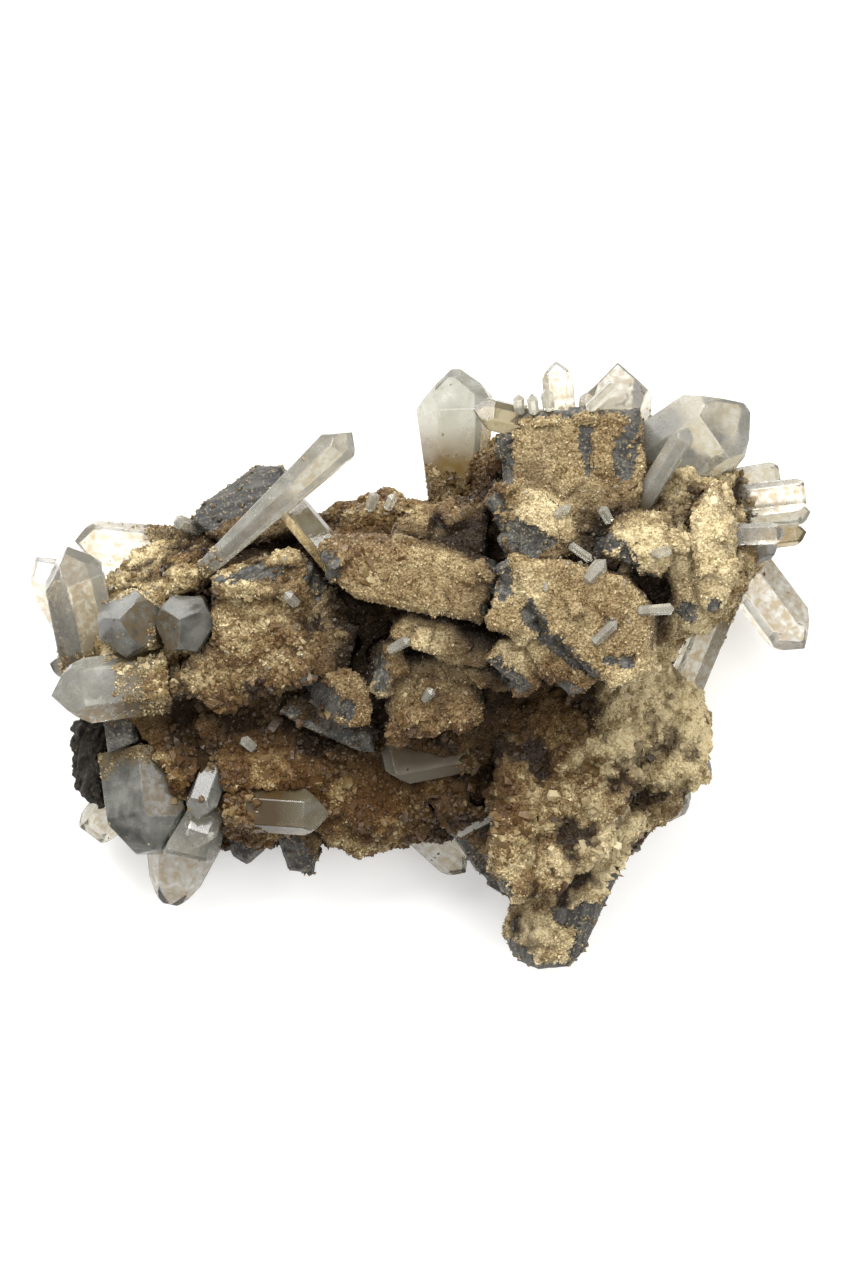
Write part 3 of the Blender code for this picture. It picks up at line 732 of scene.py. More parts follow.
class Shader:
    """Builds a node material step by step around its Principled shader."""

    def __init__(self, name: str) -> None:
        """Starts a material that reads Object coordinates.

        Args:
            name: The material's name.
        """
        self.material = bpy.data.materials.new(name)
        self.material.use_nodes = True
        self.tree = self.material.node_tree
        self.surface = self.tree.nodes["Principled BSDF"]
        self.output = self.tree.nodes["Material Output"]
        self.place = self.add("ShaderNodeTexCoord").outputs["Object"]

    def add(self, kind: str) -> bpy.types.Node:
        """A new node, set down beside the last in rows of seven.

        Args:
            kind: The node's type.

        Returns:
            The node.
        """
        node = self.tree.nodes.new(kind)
        node.location = (-220 * (len(self.tree.nodes) % 7) - 300, -160 * (len(self.tree.nodes) // 7))
        return node

    def link(self, source: bpy.types.NodeSocket, target: bpy.types.NodeSocket) -> None:
        """Joins two sockets."""
        self.tree.links.new(source, target)

    def attribute(self, name: str, output: str = "Fac") -> bpy.types.NodeSocket:
        """What a mesh attribute says.

        Args:
            name: The attribute's name.
            output: The output to read: Fac for a number and Vector for a place.

        Returns:
            The value's socket.
        """
        node = self.add("ShaderNodeAttribute")
        node.attribute_name = name
        return node.outputs[output]

    def noise(self, size: float, detail: float = 3.0, source: bpy.types.NodeSocket | None = None,
              roughness: float = 0.55) -> bpy.types.NodeSocket:
        """Soft noise from 0 to 1.

        Args:
            size: About how wide its features are, in metres.
            detail: How many finer octaves are added.
            source: The places it is read at, or None for Object coordinates.
            roughness: How strong the finer octaves are.

        Returns:
            The noise's socket.
        """
        node = self.add("ShaderNodeTexNoise")
        node.inputs["Scale"].default_value = 1 / size
        node.inputs["Detail"].default_value = detail
        node.inputs["Roughness"].default_value = roughness
        self.link(source or self.place, node.inputs["Vector"])
        return node.outputs["Fac"]

    def cells(self, size: float) -> bpy.types.NodeSocket:
        """Cells like packed grains, 0 at each one's centre.

        Args:
            size: About how wide they are, in metres.

        Returns:
            The socket of the distance from the centres.
        """
        node = self.add("ShaderNodeTexVoronoi")
        node.inputs["Scale"].default_value = 1 / size
        self.link(self.place, node.inputs["Vector"])
        return node.outputs["Distance"]

    def ramp(self, source: bpy.types.NodeSocket, stops: list[tuple[float, tuple]]) -> bpy.types.NodeSocket:
        """A colour ramp.

        Args:
            source: The value that is turned into a colour.
            stops: The ramp's positions with their colours.

        Returns:
            The colour's socket.
        """
        node = self.add("ShaderNodeValToRGB")
        elements = node.color_ramp.elements
        while len(elements) < len(stops):
            elements.new(0.5)
        for element, (position, colour) in zip(elements, stops):
            element.position = position
            element.color = (*colour, 1.0)
        self.link(source, node.inputs["Fac"])
        return node.outputs["Color"]

    def range(self, source: bpy.types.NodeSocket, low: float, high: float, to_low: float = 0.0,
              to_high: float = 1.0) -> bpy.types.NodeSocket:
        """A value stretched from one range to another, and clamped.

        Args:
            source: The value.
            low: The value that becomes to_low.
            high: The value that becomes to_high.
            to_low: The result at low.
            to_high: The result at high.

        Returns:
            The result's socket.
        """
        node = self.add("ShaderNodeMapRange")
        for name, value in zip(("From Min", "From Max", "To Min", "To Max"), (low, high, to_low, to_high)):
            node.inputs[name].default_value = value
        self.link(source, node.inputs["Value"])
        return node.outputs["Result"]

    def math(self, operation: str, first: bpy.types.NodeSocket,
             second: bpy.types.NodeSocket | float) -> bpy.types.NodeSocket:
        """One arithmetic step on two values.

        Args:
            operation: The step, as the Math node names it.
            first: The first value.
            second: The second value, or a plain number.

        Returns:
            The result's socket.
        """
        node = self.add("ShaderNodeMath")
        node.operation = operation
        self.link(first, node.inputs[0])
        if isinstance(second, (int, float)):
            node.inputs[1].default_value = second
        else:
            self.link(second, node.inputs[1])
        return node.outputs[0]

    def mix(self, share: bpy.types.NodeSocket | float, first: bpy.types.NodeSocket | tuple,
            second: bpy.types.NodeSocket | tuple) -> bpy.types.NodeSocket:
        """Two colours mixed.

        Args:
            share: How much of the second colour, from 0 to 1.
            first: The first colour.
            second: The second colour.

        Returns:
            The colour's socket.
        """
        node = self.add("ShaderNodeMix")
        node.data_type = "RGBA"
        for value, socket in ((share, node.inputs[0]), (first, node.inputs[6]), (second, node.inputs[7])):
            if isinstance(value, bpy.types.NodeSocket):
                self.link(value, socket)
            elif isinstance(value, tuple):
                socket.default_value = (*value, 1.0)
            else:
                socket.default_value = value
        return node.outputs[2]

    def bump(self, height: bpy.types.NodeSocket, distance: float, strength: float = 1.0,
             under: bpy.types.NodeSocket | None = None) -> bpy.types.NodeSocket:
        """A bumped normal.

        Args:
            height: The relief, from 0 to 1.
            distance: The relief's height in metres.
            strength: How much of it shows.
            under: A bumped normal that this one is added to.

        Returns:
            The normal's socket.
        """
        node = self.add("ShaderNodeBump")
        node.inputs["Distance"].default_value = distance
        node.inputs["Strength"].default_value = strength
        self.link(height, node.inputs["Height"])
        if under is not None:
            self.link(under, node.inputs["Normal"])
        return node.outputs["Normal"]

    def finish(self, colour: bpy.types.NodeSocket, roughness: bpy.types.NodeSocket | float,
               normal: bpy.types.NodeSocket | None = None, **plain: float) -> bpy.types.Material:
        """Joins the sockets to the shader and sets the plain ones.

        Args:
            colour: The base colour.
            roughness: The roughness, or a plain number.
            normal: The bumped normal, if there is one.
            **plain: Numbers for other sockets, named with _ for each space.

        Returns:
            The material.
        """
        self.link(colour, self.surface.inputs["Base Color"])
        if isinstance(roughness, bpy.types.NodeSocket):
            self.link(roughness, self.surface.inputs["Roughness"])
        else:
            self.surface.inputs["Roughness"].default_value = roughness
        if normal is not None:
            self.link(normal, self.surface.inputs["Normal"])
        for name, value in plain.items():
            self.surface.inputs[name.replace("_", " ")].default_value = value
        return self.material


@dataclass(frozen=True)
class DruseFinish:
    """Brown to cream sugary druse, darker where it is hemmed in: partly a rusty stain, partly painted shade.
    """

    # The first two colours are what hemmed-in clefts and pits turn to: painted shade, partly a rusty stain.
    deep: tuple = (0.016, 0.008, 0.003)
    warm: tuple = (0.150, 0.086, 0.030)
    amber: tuple = (0.060, 0.026, 0.006)
    rust: tuple = (0.150, 0.090, 0.032)
    tan: tuple = (0.300, 0.228, 0.112)
    cream: tuple = (0.660, 0.552, 0.330)
    grain: float = 0.30 * MM

    def colour(self, s: Shader, tint: bpy.types.NodeSocket, depth: float) -> bpy.types.NodeSocket:
        """The druse's colour from its tone attribute, its attribute of stain with painted shade, and a tint,
        from 0 to 1.

        Args:
            s: The material that it is built in.
            tint: How pale this grain is among its neighbours.
            depth: How dark the painted shade makes the fully hemmed-in places, from 0 to 1.

        Returns:
            The colour.
        """
        patches = s.noise(2.8 * MM, 4.0)
        mixed = s.math("ADD", s.math("MULTIPLY", tint, 0.52), s.math("MULTIPLY", patches, 0.40))
        mixed = s.math("ADD", mixed, s.math("MULTIPLY", s.attribute("tone"), 0.30))
        colour = s.ramp(mixed, [(0.10, self.amber), (0.32, self.rust), (0.52, self.tan), (0.84, self.cream)])
        # Painted shade, partly a rusty stain: hemmed-in places turn warm brown, then near-black.
        stain = s.attribute("stain")
        colour = s.mix(s.range(stain, 0.10, 0.75, 0.0, 0.6), colour, self.warm)
        return s.mix(s.range(stain, 0.25, 0.85, 0.0, depth), colour, self.deep)

    def grains(self) -> bpy.types.Material:
        """The finish of the loose-standing grains, which carry the attribute tint.

        Returns:
            The material.
        """
        s = Shader("druse_grains")
        colour = self.colour(s, s.attribute("tint"), 0.92)
        rough = s.range(s.noise(0.4 * MM, 2.0), 0.3, 0.7, 0.22, 0.60)
        return s.finish(colour, rough, IOR=1.54, Specular_IOR_Level=0.35)

    def prisms(self) -> bpy.types.Material:
        """The finish of the coarser crystals in the druse: glossier, and a little see-through.

        Returns:
            The material.
        """
        s = Shader("druse_prisms")
        colour = self.colour(s, s.attribute("tint"), 0.85)
        rough = s.range(s.noise(0.6 * MM, 2.0), 0.3, 0.7, 0.25, 0.60)
        normal = s.bump(s.noise(0.4 * MM, 3.0), 0.08 * MM, 0.8)
        return s.finish(colour, rough, normal, IOR=1.54, Specular_IOR_Level=0.3, Transmission_Weight=0.1)

    def ground(self) -> bpy.types.Material:
        """The finish of the skin that the grains stand on.

        Returns:
            The material.
        """
        s = Shader("druse")
        speck = s.noise(self.grain, 2.0)
        colour = self.colour(s, s.range(speck, 0.3, 0.7, 0.0, 0.75), 0.96)
        normal = s.bump(s.cells(self.grain), 0.10 * MM, 0.9)
        return s.finish(colour, 0.75, normal, IOR=1.54, Specular_IOR_Level=0.2)


@dataclass(frozen=True)
class EpidoteFinish:
    """Slate-grey striated epidote under a druse that thins out into specks."""

    face: tuple = (0.017, 0.0162, 0.0145)
    light: tuple = (0.088, 0.084, 0.072)
    dust: tuple = (0.230, 0.185, 0.110)
    druse: DruseFinish = DruseFinish()

    def material(self) -> bpy.types.Material:
        """Reads the attributes coat, tone, stain with painted shade, and streak, a place stretched along the
        crystal.

        Returns:
            The material.
        """
        s = Shader("epidote")
        streak = s.attribute("streak", "Vector")
        lines = s.noise(0.30 * MM, 4.0, streak, 0.7)
        broad = s.noise(1.4 * MM, 3.0, streak)
        bare = s.mix(s.range(s.math("MULTIPLY", lines, broad), 0.19, 0.34), self.face, self.light)
        bare = s.mix(s.range(s.noise(0.34 * MM, 3.0), 0.575, 0.645, 0.0, 0.8), bare, self.dust)
        ragged = s.range(s.noise(0.32 * MM, 3.0), 0.3, 0.7, -0.5, 0.5)
        coat = s.range(s.math("ADD", s.attribute("coat"), ragged), 0.40, 0.60)
        speck = s.range(s.noise(self.druse.grain, 2.0), 0.3, 0.7, 0.0, 0.75)
        colour = s.mix(coat, bare, self.druse.colour(s, speck, 0.96))
        rough = s.range(coat, 0.0, 1.0, 0.48, 0.75)
        grains = s.math("MULTIPLY", s.cells(self.druse.grain), coat)
        normal = s.bump(lines, 0.06 * MM, 0.8)
        normal = s.bump(grains, 0.10 * MM, 0.9, normal)
        return s.finish(colour, rough, normal, IOR=1.6, Specular_IOR_Level=0.35)


@dataclass(frozen=True)
class CrustFinish:
    """Black-brown fibrous crust."""

    dark: tuple = (0.0065, 0.0055, 0.004)
    brown: tuple = (0.036, 0.027, 0.017)
    worn: tuple = (0.190, 0.160, 0.110)

    def material(self) -> bpy.types.Material:
        """Reads the attribute streak, a place stretched along the fibres.

        Returns:
            The material.
        """
        s = Shader("black_crust")
        fibres = s.noise(0.34 * MM, 5.0, s.attribute("streak", "Vector"), 0.75)
        colour = s.ramp(fibres, [(0.42, self.dark), (0.58, self.brown), (0.72, self.worn)])
        normal = s.bump(fibres, 0.30 * MM, 1.0)
        return s.finish(colour, s.range(fibres, 0.3, 0.7, 0.45, 0.9), normal, IOR=1.5)


@dataclass(frozen=True)
class QuartzFinish:
    """Quartz: clearest at the tip, hazier and rust-stained towards the root, with milky veils."""

    habit: Habit
    body: tuple
    veil: tuple
    root: tuple
    absorbed: tuple
    density: float
    haze: float
    glass: float
    dust: tuple = (0.40, 0.27, 0.12)
    shadow: tuple = (0.05, 0.045, 0.03)
    coat: tuple = (0.27, 0.20, 0.095)

    def material(self) -> bpy.types.Material:
        """Reads the attributes of stain, rooting, dust, facet light and streak.

        The first two rise above 0 where the crystal is stained and where druse coats its root; on the
        strewn prisms the first also holds the painted shade of the druse round them. dust is the share of
        rusty dust, the facet light is high on facets turned to the given light side and low on those that
        get painted shade, and streak is a place stretched along the growth lines.

        Returns:
            The material.
        """
        s = Shader("quartz_" + self.habit.value)
        veil = s.noise(2.4 * MM, 5.0)
        # On the strewn prisms this stain also carries the painted shade of the druse round them.
        stain = s.math("ADD", s.attribute("stain"), s.range(veil, 0.25, 0.75, -0.28, 0.28))
        stain = s.range(stain, 0.0, 0.9)
        mottle = s.range(s.noise(0.9 * MM, 4.0), 0.35, 0.60, 0.10, 1.0)
        dust = s.math("MULTIPLY", s.attribute("dust"), mottle)
        colour = s.mix(stain, s.mix(s.range(veil, 0.35, 0.65), self.body, self.veil), self.root)
        # Painted shade: facets turned away from the given light side are darkened towards the shadow colour.
        colour = s.mix(s.range(s.attribute("painted_facet_light"), -0.3, 0.8, 0.16, 0.0), colour, self.shadow)
        colour = s.mix(dust, colour, self.dust)
        wander = s.range(s.noise(1.6 * MM, 4.0), 0.25, 0.75, -2.2, 2.2)
        coat = s.range(s.math("ADD", s.attribute("rooted"), wander), -0.3, 1.0)
        colour = s.mix(coat, colour, self.coat)
        fog = s.math("MULTIPLY", s.range(veil, 0.38, 0.66), self.haze)
        fog = s.math("MAXIMUM", fog, s.math("MULTIPLY", stain, 0.55))
        fog = s.math("MAXIMUM", fog, s.math("MULTIPLY", dust, 0.7))
        fog = s.math("MAXIMUM", fog, coat)
        rough = s.range(fog, 0.0, 1.0, 0.04, 0.62)
        growth = s.noise(0.55 * MM, 3.0, s.attribute("streak", "Vector"), 0.65)
        normal = s.bump(growth, 0.035 * MM, 0.6)
        normal = s.bump(s.noise(2.0 * MM, 2.0), 0.10 * MM, 0.35, normal)
        inside = s.add("ShaderNodeVolumeAbsorption")
        inside.inputs["Color"].default_value = (*self.absorbed, 1.0)
        inside.inputs["Density"].default_value = self.density
        s.link(inside.outputs["Volume"], s.output.inputs["Volume"])
        return s.finish(colour, rough, normal, IOR=1.544, Transmission_Weight=self.glass)


QUARTZ_FINISHES = (
    QuartzFinish(Habit.CLEAR, body=(0.90, 0.895, 0.83), veil=(0.94, 0.935, 0.88), root=(0.46, 0.37, 0.16),
                 absorbed=(0.72, 0.71, 0.56), density=40.0, haze=0.24, glass=0.90),
    QuartzFinish(Habit.CLOUDY, body=(0.53, 0.525, 0.46), veil=(0.75, 0.745, 0.69), root=(0.22, 0.14, 0.045),
                 absorbed=(0.68, 0.67, 0.55), density=80.0, haze=0.50, glass=0.76),
    QuartzFinish(Habit.SMOKY, body=(0.17, 0.168, 0.15), veil=(0.46, 0.455, 0.41), root=(0.16, 0.11, 0.045),
                 absorbed=(0.56, 0.55, 0.50), density=220.0, haze=0.55, glass=0.62, dust=(0.24, 0.17, 0.08)),
    QuartzFinish(Habit.STAINED, body=(0.40, 0.34, 0.20), veil=(0.54, 0.50, 0.37), root=(0.22, 0.13, 0.04),
                 absorbed=(0.68, 0.56, 0.30), density=130.0, haze=0.40, glass=0.80),
    QuartzFinish(Habit.WATER, body=(0.92, 0.918, 0.87), veil=(0.96, 0.958, 0.92), root=(0.62, 0.55, 0.30),
                 absorbed=(0.80, 0.79, 0.70), density=20.0, haze=0.20, glass=0.92),
    QuartzFinish(Habit.MILKY, body=(0.62, 0.59, 0.49), veil=(0.86, 0.835, 0.73), root=(0.58, 0.50, 0.34),
                 absorbed=(0.78, 0.75, 0.62), density=40.0, haze=0.48, glass=0.70),
)


def streak_places(points: np.ndarray, along: np.ndarray, squeeze: float) -> np.ndarray:
    """Places squeezed along one direction, so that noise on them draws lines along it.

    Args:
        points: Places in metres.
        along: The direction, of any length.
        squeeze: What is left of a length along it.

    Returns:
        The squeezed places, (n, 3).
    """
    axis = along / np.linalg.norm(along)
    run = points @ axis
    return points - np.outer(run * (1 - squeeze), axis)


@dataclass
class QuartzPoints:
    """The quartz crystals, each made of its node's own flat faces with softened edges.

    Faces that meet within flat_angle are one face, and edges sharper than edge_angle are softened.
    Growth lines run level across each prism, or along x on one that rises by more than upright, in
    millimetres. The stain fades out over stain_fade of the length, and the facets that look along
    the given light side are painted palest, while those turned away from it get painted shade.
    """

    edge: float = 0.10 * MM
    flat_angle: float = math.radians(1)
    edge_angle: float = math.radians(12)
    upright: float = 12.0
    stain_fade: float = 0.28
    # Painted light: facets that face this way are drawn palest, and the others get painted shade.
    painted_light_side: tuple[float, float, float] = (-0.87, -0.17, 0.46)

    def build(self, nodes: dict[str, bpy.types.Object],
              finishes: dict[Habit, bpy.types.Material]) -> list[bpy.types.Object]:
        """Makes one piece for each quartz node.

        Args:
            nodes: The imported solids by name.
            finishes: The quartz finishes by habit.

        Returns:
            The pieces, in the order of QUARTZ.
        """
        pieces = []
        for crystal in QUARTZ:
            mesh = self.point(nodes[crystal.node], crystal)
            name = crystal.node + "_clear"
            pieces.append(add_piece(mesh, name, finishes[crystal.habit], crystal.node))
        log.info("quartz points: %d pieces", len(pieces))
        return pieces

    def point(self, node: bpy.types.Object, crystal: Quartz) -> bpy.types.Mesh:
        """One crystal: the node's solid with a narrow bevel, and the attributes of its finish.

        Args:
            node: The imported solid.
            crystal: The crystal's look.

        Returns:
            The mesh.
        """
        helper = merged_copy(node, crystal.node + "_form")
        flat = helper.modifiers.new("Flat", "DECIMATE")
        flat.decimate_type = "DISSOLVE"
        flat.angle_limit = self.flat_angle
        bevel = helper.modifiers.new("Bevel", "BEVEL")
        bevel.width = self.edge
        bevel.segments = 1
        bevel.limit_method = "ANGLE"
        bevel.angle_limit = self.edge_angle
        cut = helper.modifiers.new("Triangles", "TRIANGULATE")
        cut.min_vertices = 4
        mesh = finished_mesh(helper)
        bpy.data.objects.remove(helper)
        points, _ = vertex_arrays(mesh)
        along = np.array(crystal.pointing)
        rise = rise_along(points, points, along)
        set_attribute(mesh, "stain", (crystal.stained - rise) / self.stain_fade)
        set_attribute(mesh, "rooted", (crystal.climb - rise) / CLIMB_FADE)
        facing = np.empty(len(mesh.polygons) * 3, np.float32)
        mesh.polygons.foreach_get("normal", facing)
        facing = facing.reshape(-1, 3)
        dusty = np.array(crystal.dusty) / np.linalg.norm(crystal.dusty)
        set_face_attribute(mesh, "dust", np.clip((facing @ dusty - 0.55) / 0.2, 0, 1))
        # Painted light and shade on each facet, by how it faces the given light side.
        set_face_attribute(mesh, "painted_facet_light", facing @ np.array(self.painted_light_side))
        across = np.cross(along, (0.0, 0.0, 1.0)) if abs(along[2]) < self.upright else np.array((1.0, 0, 0))
        set_attribute(mesh, "streak", streak_places(points, across, 0.06))
        return mesh


@dataclass
class EpidoteTablets:
    """The epidote clumps: flat faces kept flat where bare, and built up where druse coats them.

    rough holds the clumps whose druse is lumpier than that of the others, which is plain. A bare
    face carries low steps along the crystal.
    """

    voxel: float = 0.36 * MM
    coat_depth: float = 0.45 * MM
    step: float = 0.05 * MM
    plain: float = 0.12
    rough: dict[str, float] = field(default_factory=lambda: {
        "epidote_foot_block": 1.3,
        "epidote_foot_edge": 0.8,
        "epidote_left_table": 0.9,
        "epidote_lower_fan": 0.45,
        "epidote_back_slab": 0.35,
        "epidote_right_spur": 0.45,
        "epidote_under_prism": 0.5,
    })

    def roughness(self, name: str) -> float:
        """How lumpy a clump's druse is, 1 being as lumpy as the base mass."""
        return self.rough.get(name, self.plain)

    def build(self, nodes: dict[str, bpy.types.Object], setting: Setting) -> dict[str, bpy.types.Object]:
        """Makes one piece for each epidote node.

        Args:
            nodes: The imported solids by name.
            setting: What the pieces are fitted to.

        Returns:
            The pieces by the names of their nodes, in the order of the alphabet.
        """
        material = EpidoteFinish().material()
        pieces = {}
        for name in sorted(n for n in nodes if n.startswith(DARK_NODES)):
            mesh = fine_skin(nodes[name], name + "_dressed", self.voxel, True)
            points, normals = vertex_arrays(mesh)
            coat = coat_share(points, normals, setting.shift)
            rough = self.roughness(name)
            lift = self.coat_depth * coat * self.relief(points, rough)
            spread = np.linalg.eigh(np.cov((points - points.mean(axis=0)).T))[1]
            streaks = streak_places(points, spread[:, 2], 0.03)
            steps = noise_field(streaks, 0.8 * MM, 10)
            lift += self.step * (1 - coat) * steps
            setting.push_out(mesh, points, normals, lift)
            tone, stain = setting.colouring(points, normals, rough)
            set_attribute(mesh, "coat", coat)
            set_attribute(mesh, "tone", tone)
            set_attribute(mesh, "stain", stain)
            set_attribute(mesh, "streak", streaks)
            pieces[name] = add_piece(mesh, name + "_dressed", material, name)
        faces = sum(len(piece.data.polygons) for piece in pieces.values())
        log.info("epidote clumps: %d pieces, %d faces", len(pieces), faces)
        return pieces

    def relief(self, points: np.ndarray, rough: float) -> np.ndarray:
        """The druse's thickness: lumps, broad swellings and packed crystal bumps on them.

        Args:
            points: Places in metres.
            rough: How lumpy the druse is.

        Returns:
            The share of the coat's depth at each place.
        """
        broad = 0.25 * noise_field(points, 2.6 * MM, 16) + 2.0 * rough * lump_field(points)
        fine = (0.15 + 0.25 * rough) * cell_field(points, 0.9 * MM, 8)
        fine += 0.25 * noise_field(points, 0.45 * MM, 9)
        return 0.50 + broad + fine


@dataclass
class DruseMass:
    """The base mass: an even skin pushed out into packed crystal bumps.

    It stays flat where it rests, which is below rest_height.
    """

    voxel: float = 0.50 * MM
    bump: float = 1.25 * MM
    rough: float = 1.0
    rest_height: float = 0.15 * MM

    def build(self, nodes: dict[str, bpy.types.Object], setting: Setting) -> bpy.types.Object:
        """Makes the one piece of the base mass.

        Args:
            nodes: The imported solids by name.
            setting: What the piece is fitted to.

        Returns:
            The piece.
        """
        mesh = fine_skin(nodes[MASS_NODE], "druse_mass", self.voxel, True)
        points, normals = vertex_arrays(mesh)
        resting = points[:, 2] < self.rest_height
        lift = np.where(resting, 0.0, self.bump * self.relief(points))
        setting.push_out(mesh, points, normals, lift)
        tone, stain = setting.colouring(points, normals, self.rough)
        set_attribute(mesh, "tone", tone)
        set_attribute(mesh, "stain", stain)
        log.info("base mass: %d faces", len(mesh.polygons))
        return add_piece(mesh, "druse_mass", DruseFinish().ground(), MASS_NODE)

    def relief(self, points: np.ndarray) -> np.ndarray:
        """Lumps with packed crystal bumps on them."""
        return lump_field(points) + 0.30 * noise_field(points, 0.7 * MM, 13)


@dataclass
class BlackCrust:
    """The black fibrous lump at the left edge."""

    voxel: float = 0.28 * MM
    depth: float = 0.9 * MM
    fibres: tuple[float, float, float] = (0.25, 1.0, 0.35)

    def build(self, nodes: dict[str, bpy.types.Object], setting: Setting) -> bpy.types.Object:
        """Makes the one piece of the crust, its ribs being noise squeezed along the fibres.

        Args:
            nodes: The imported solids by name.
            setting: What the piece is fitted to.

        Returns:
            The piece.
        """
        mesh = fine_skin(nodes[CRUST_NODE], "black_crust", self.voxel, False)
        points, normals = vertex_arrays(mesh)
        streaks = streak_places(points, np.array(self.fibres), 0.30)
        ribs = 0.7 * noise_field(streaks, 0.9 * MM, 21) + 0.7 * noise_field(streaks, 0.45 * MM, 22)
        ribs += 0.5 * noise_field(points, 2.2 * MM, 23) + 0.4 * noise_field(points, 0.5 * MM, 24)
        setting.push_out(mesh, points, normals, self.depth * (ribs - 0.5))
        set_attribute(mesh, "streak", streaks)
        log.info("black crust: %d faces", len(mesh.polygons))
        return add_piece(mesh, "black_crust", CrustFinish().material(), CRUST_NODE)


@dataclass
class Spots:
    """Places on the skins where small crystals stand, with the skin's normal, tone, and stain with painted
    shade.
    """

    place: np.ndarray
    normal: np.ndarray
    tone: np.ndarray
    stain: np.ndarray

    def __len__(self) -> int:
        """How many places there are."""
        return len(self.place)

    def chosen(self, which: np.ndarray) -> "Spots":
        """The places that a mask or a list of numbers picks."""
        return Spots(self.place[which], self.normal[which], self.tone[which], self.stain[which])


@dataclass(frozen=True)
class Skin:
    """A dressed surface that grains are strewn on.

    cover gives the share of druse, from 0 to 1, for places and normals. rough says how lumpy the
    druse is, and density how many times as many grains stand there as on the epidote.
    """

    mesh: bpy.types.Mesh
    cover: Cover
    rough: float
    density: float = 1.0


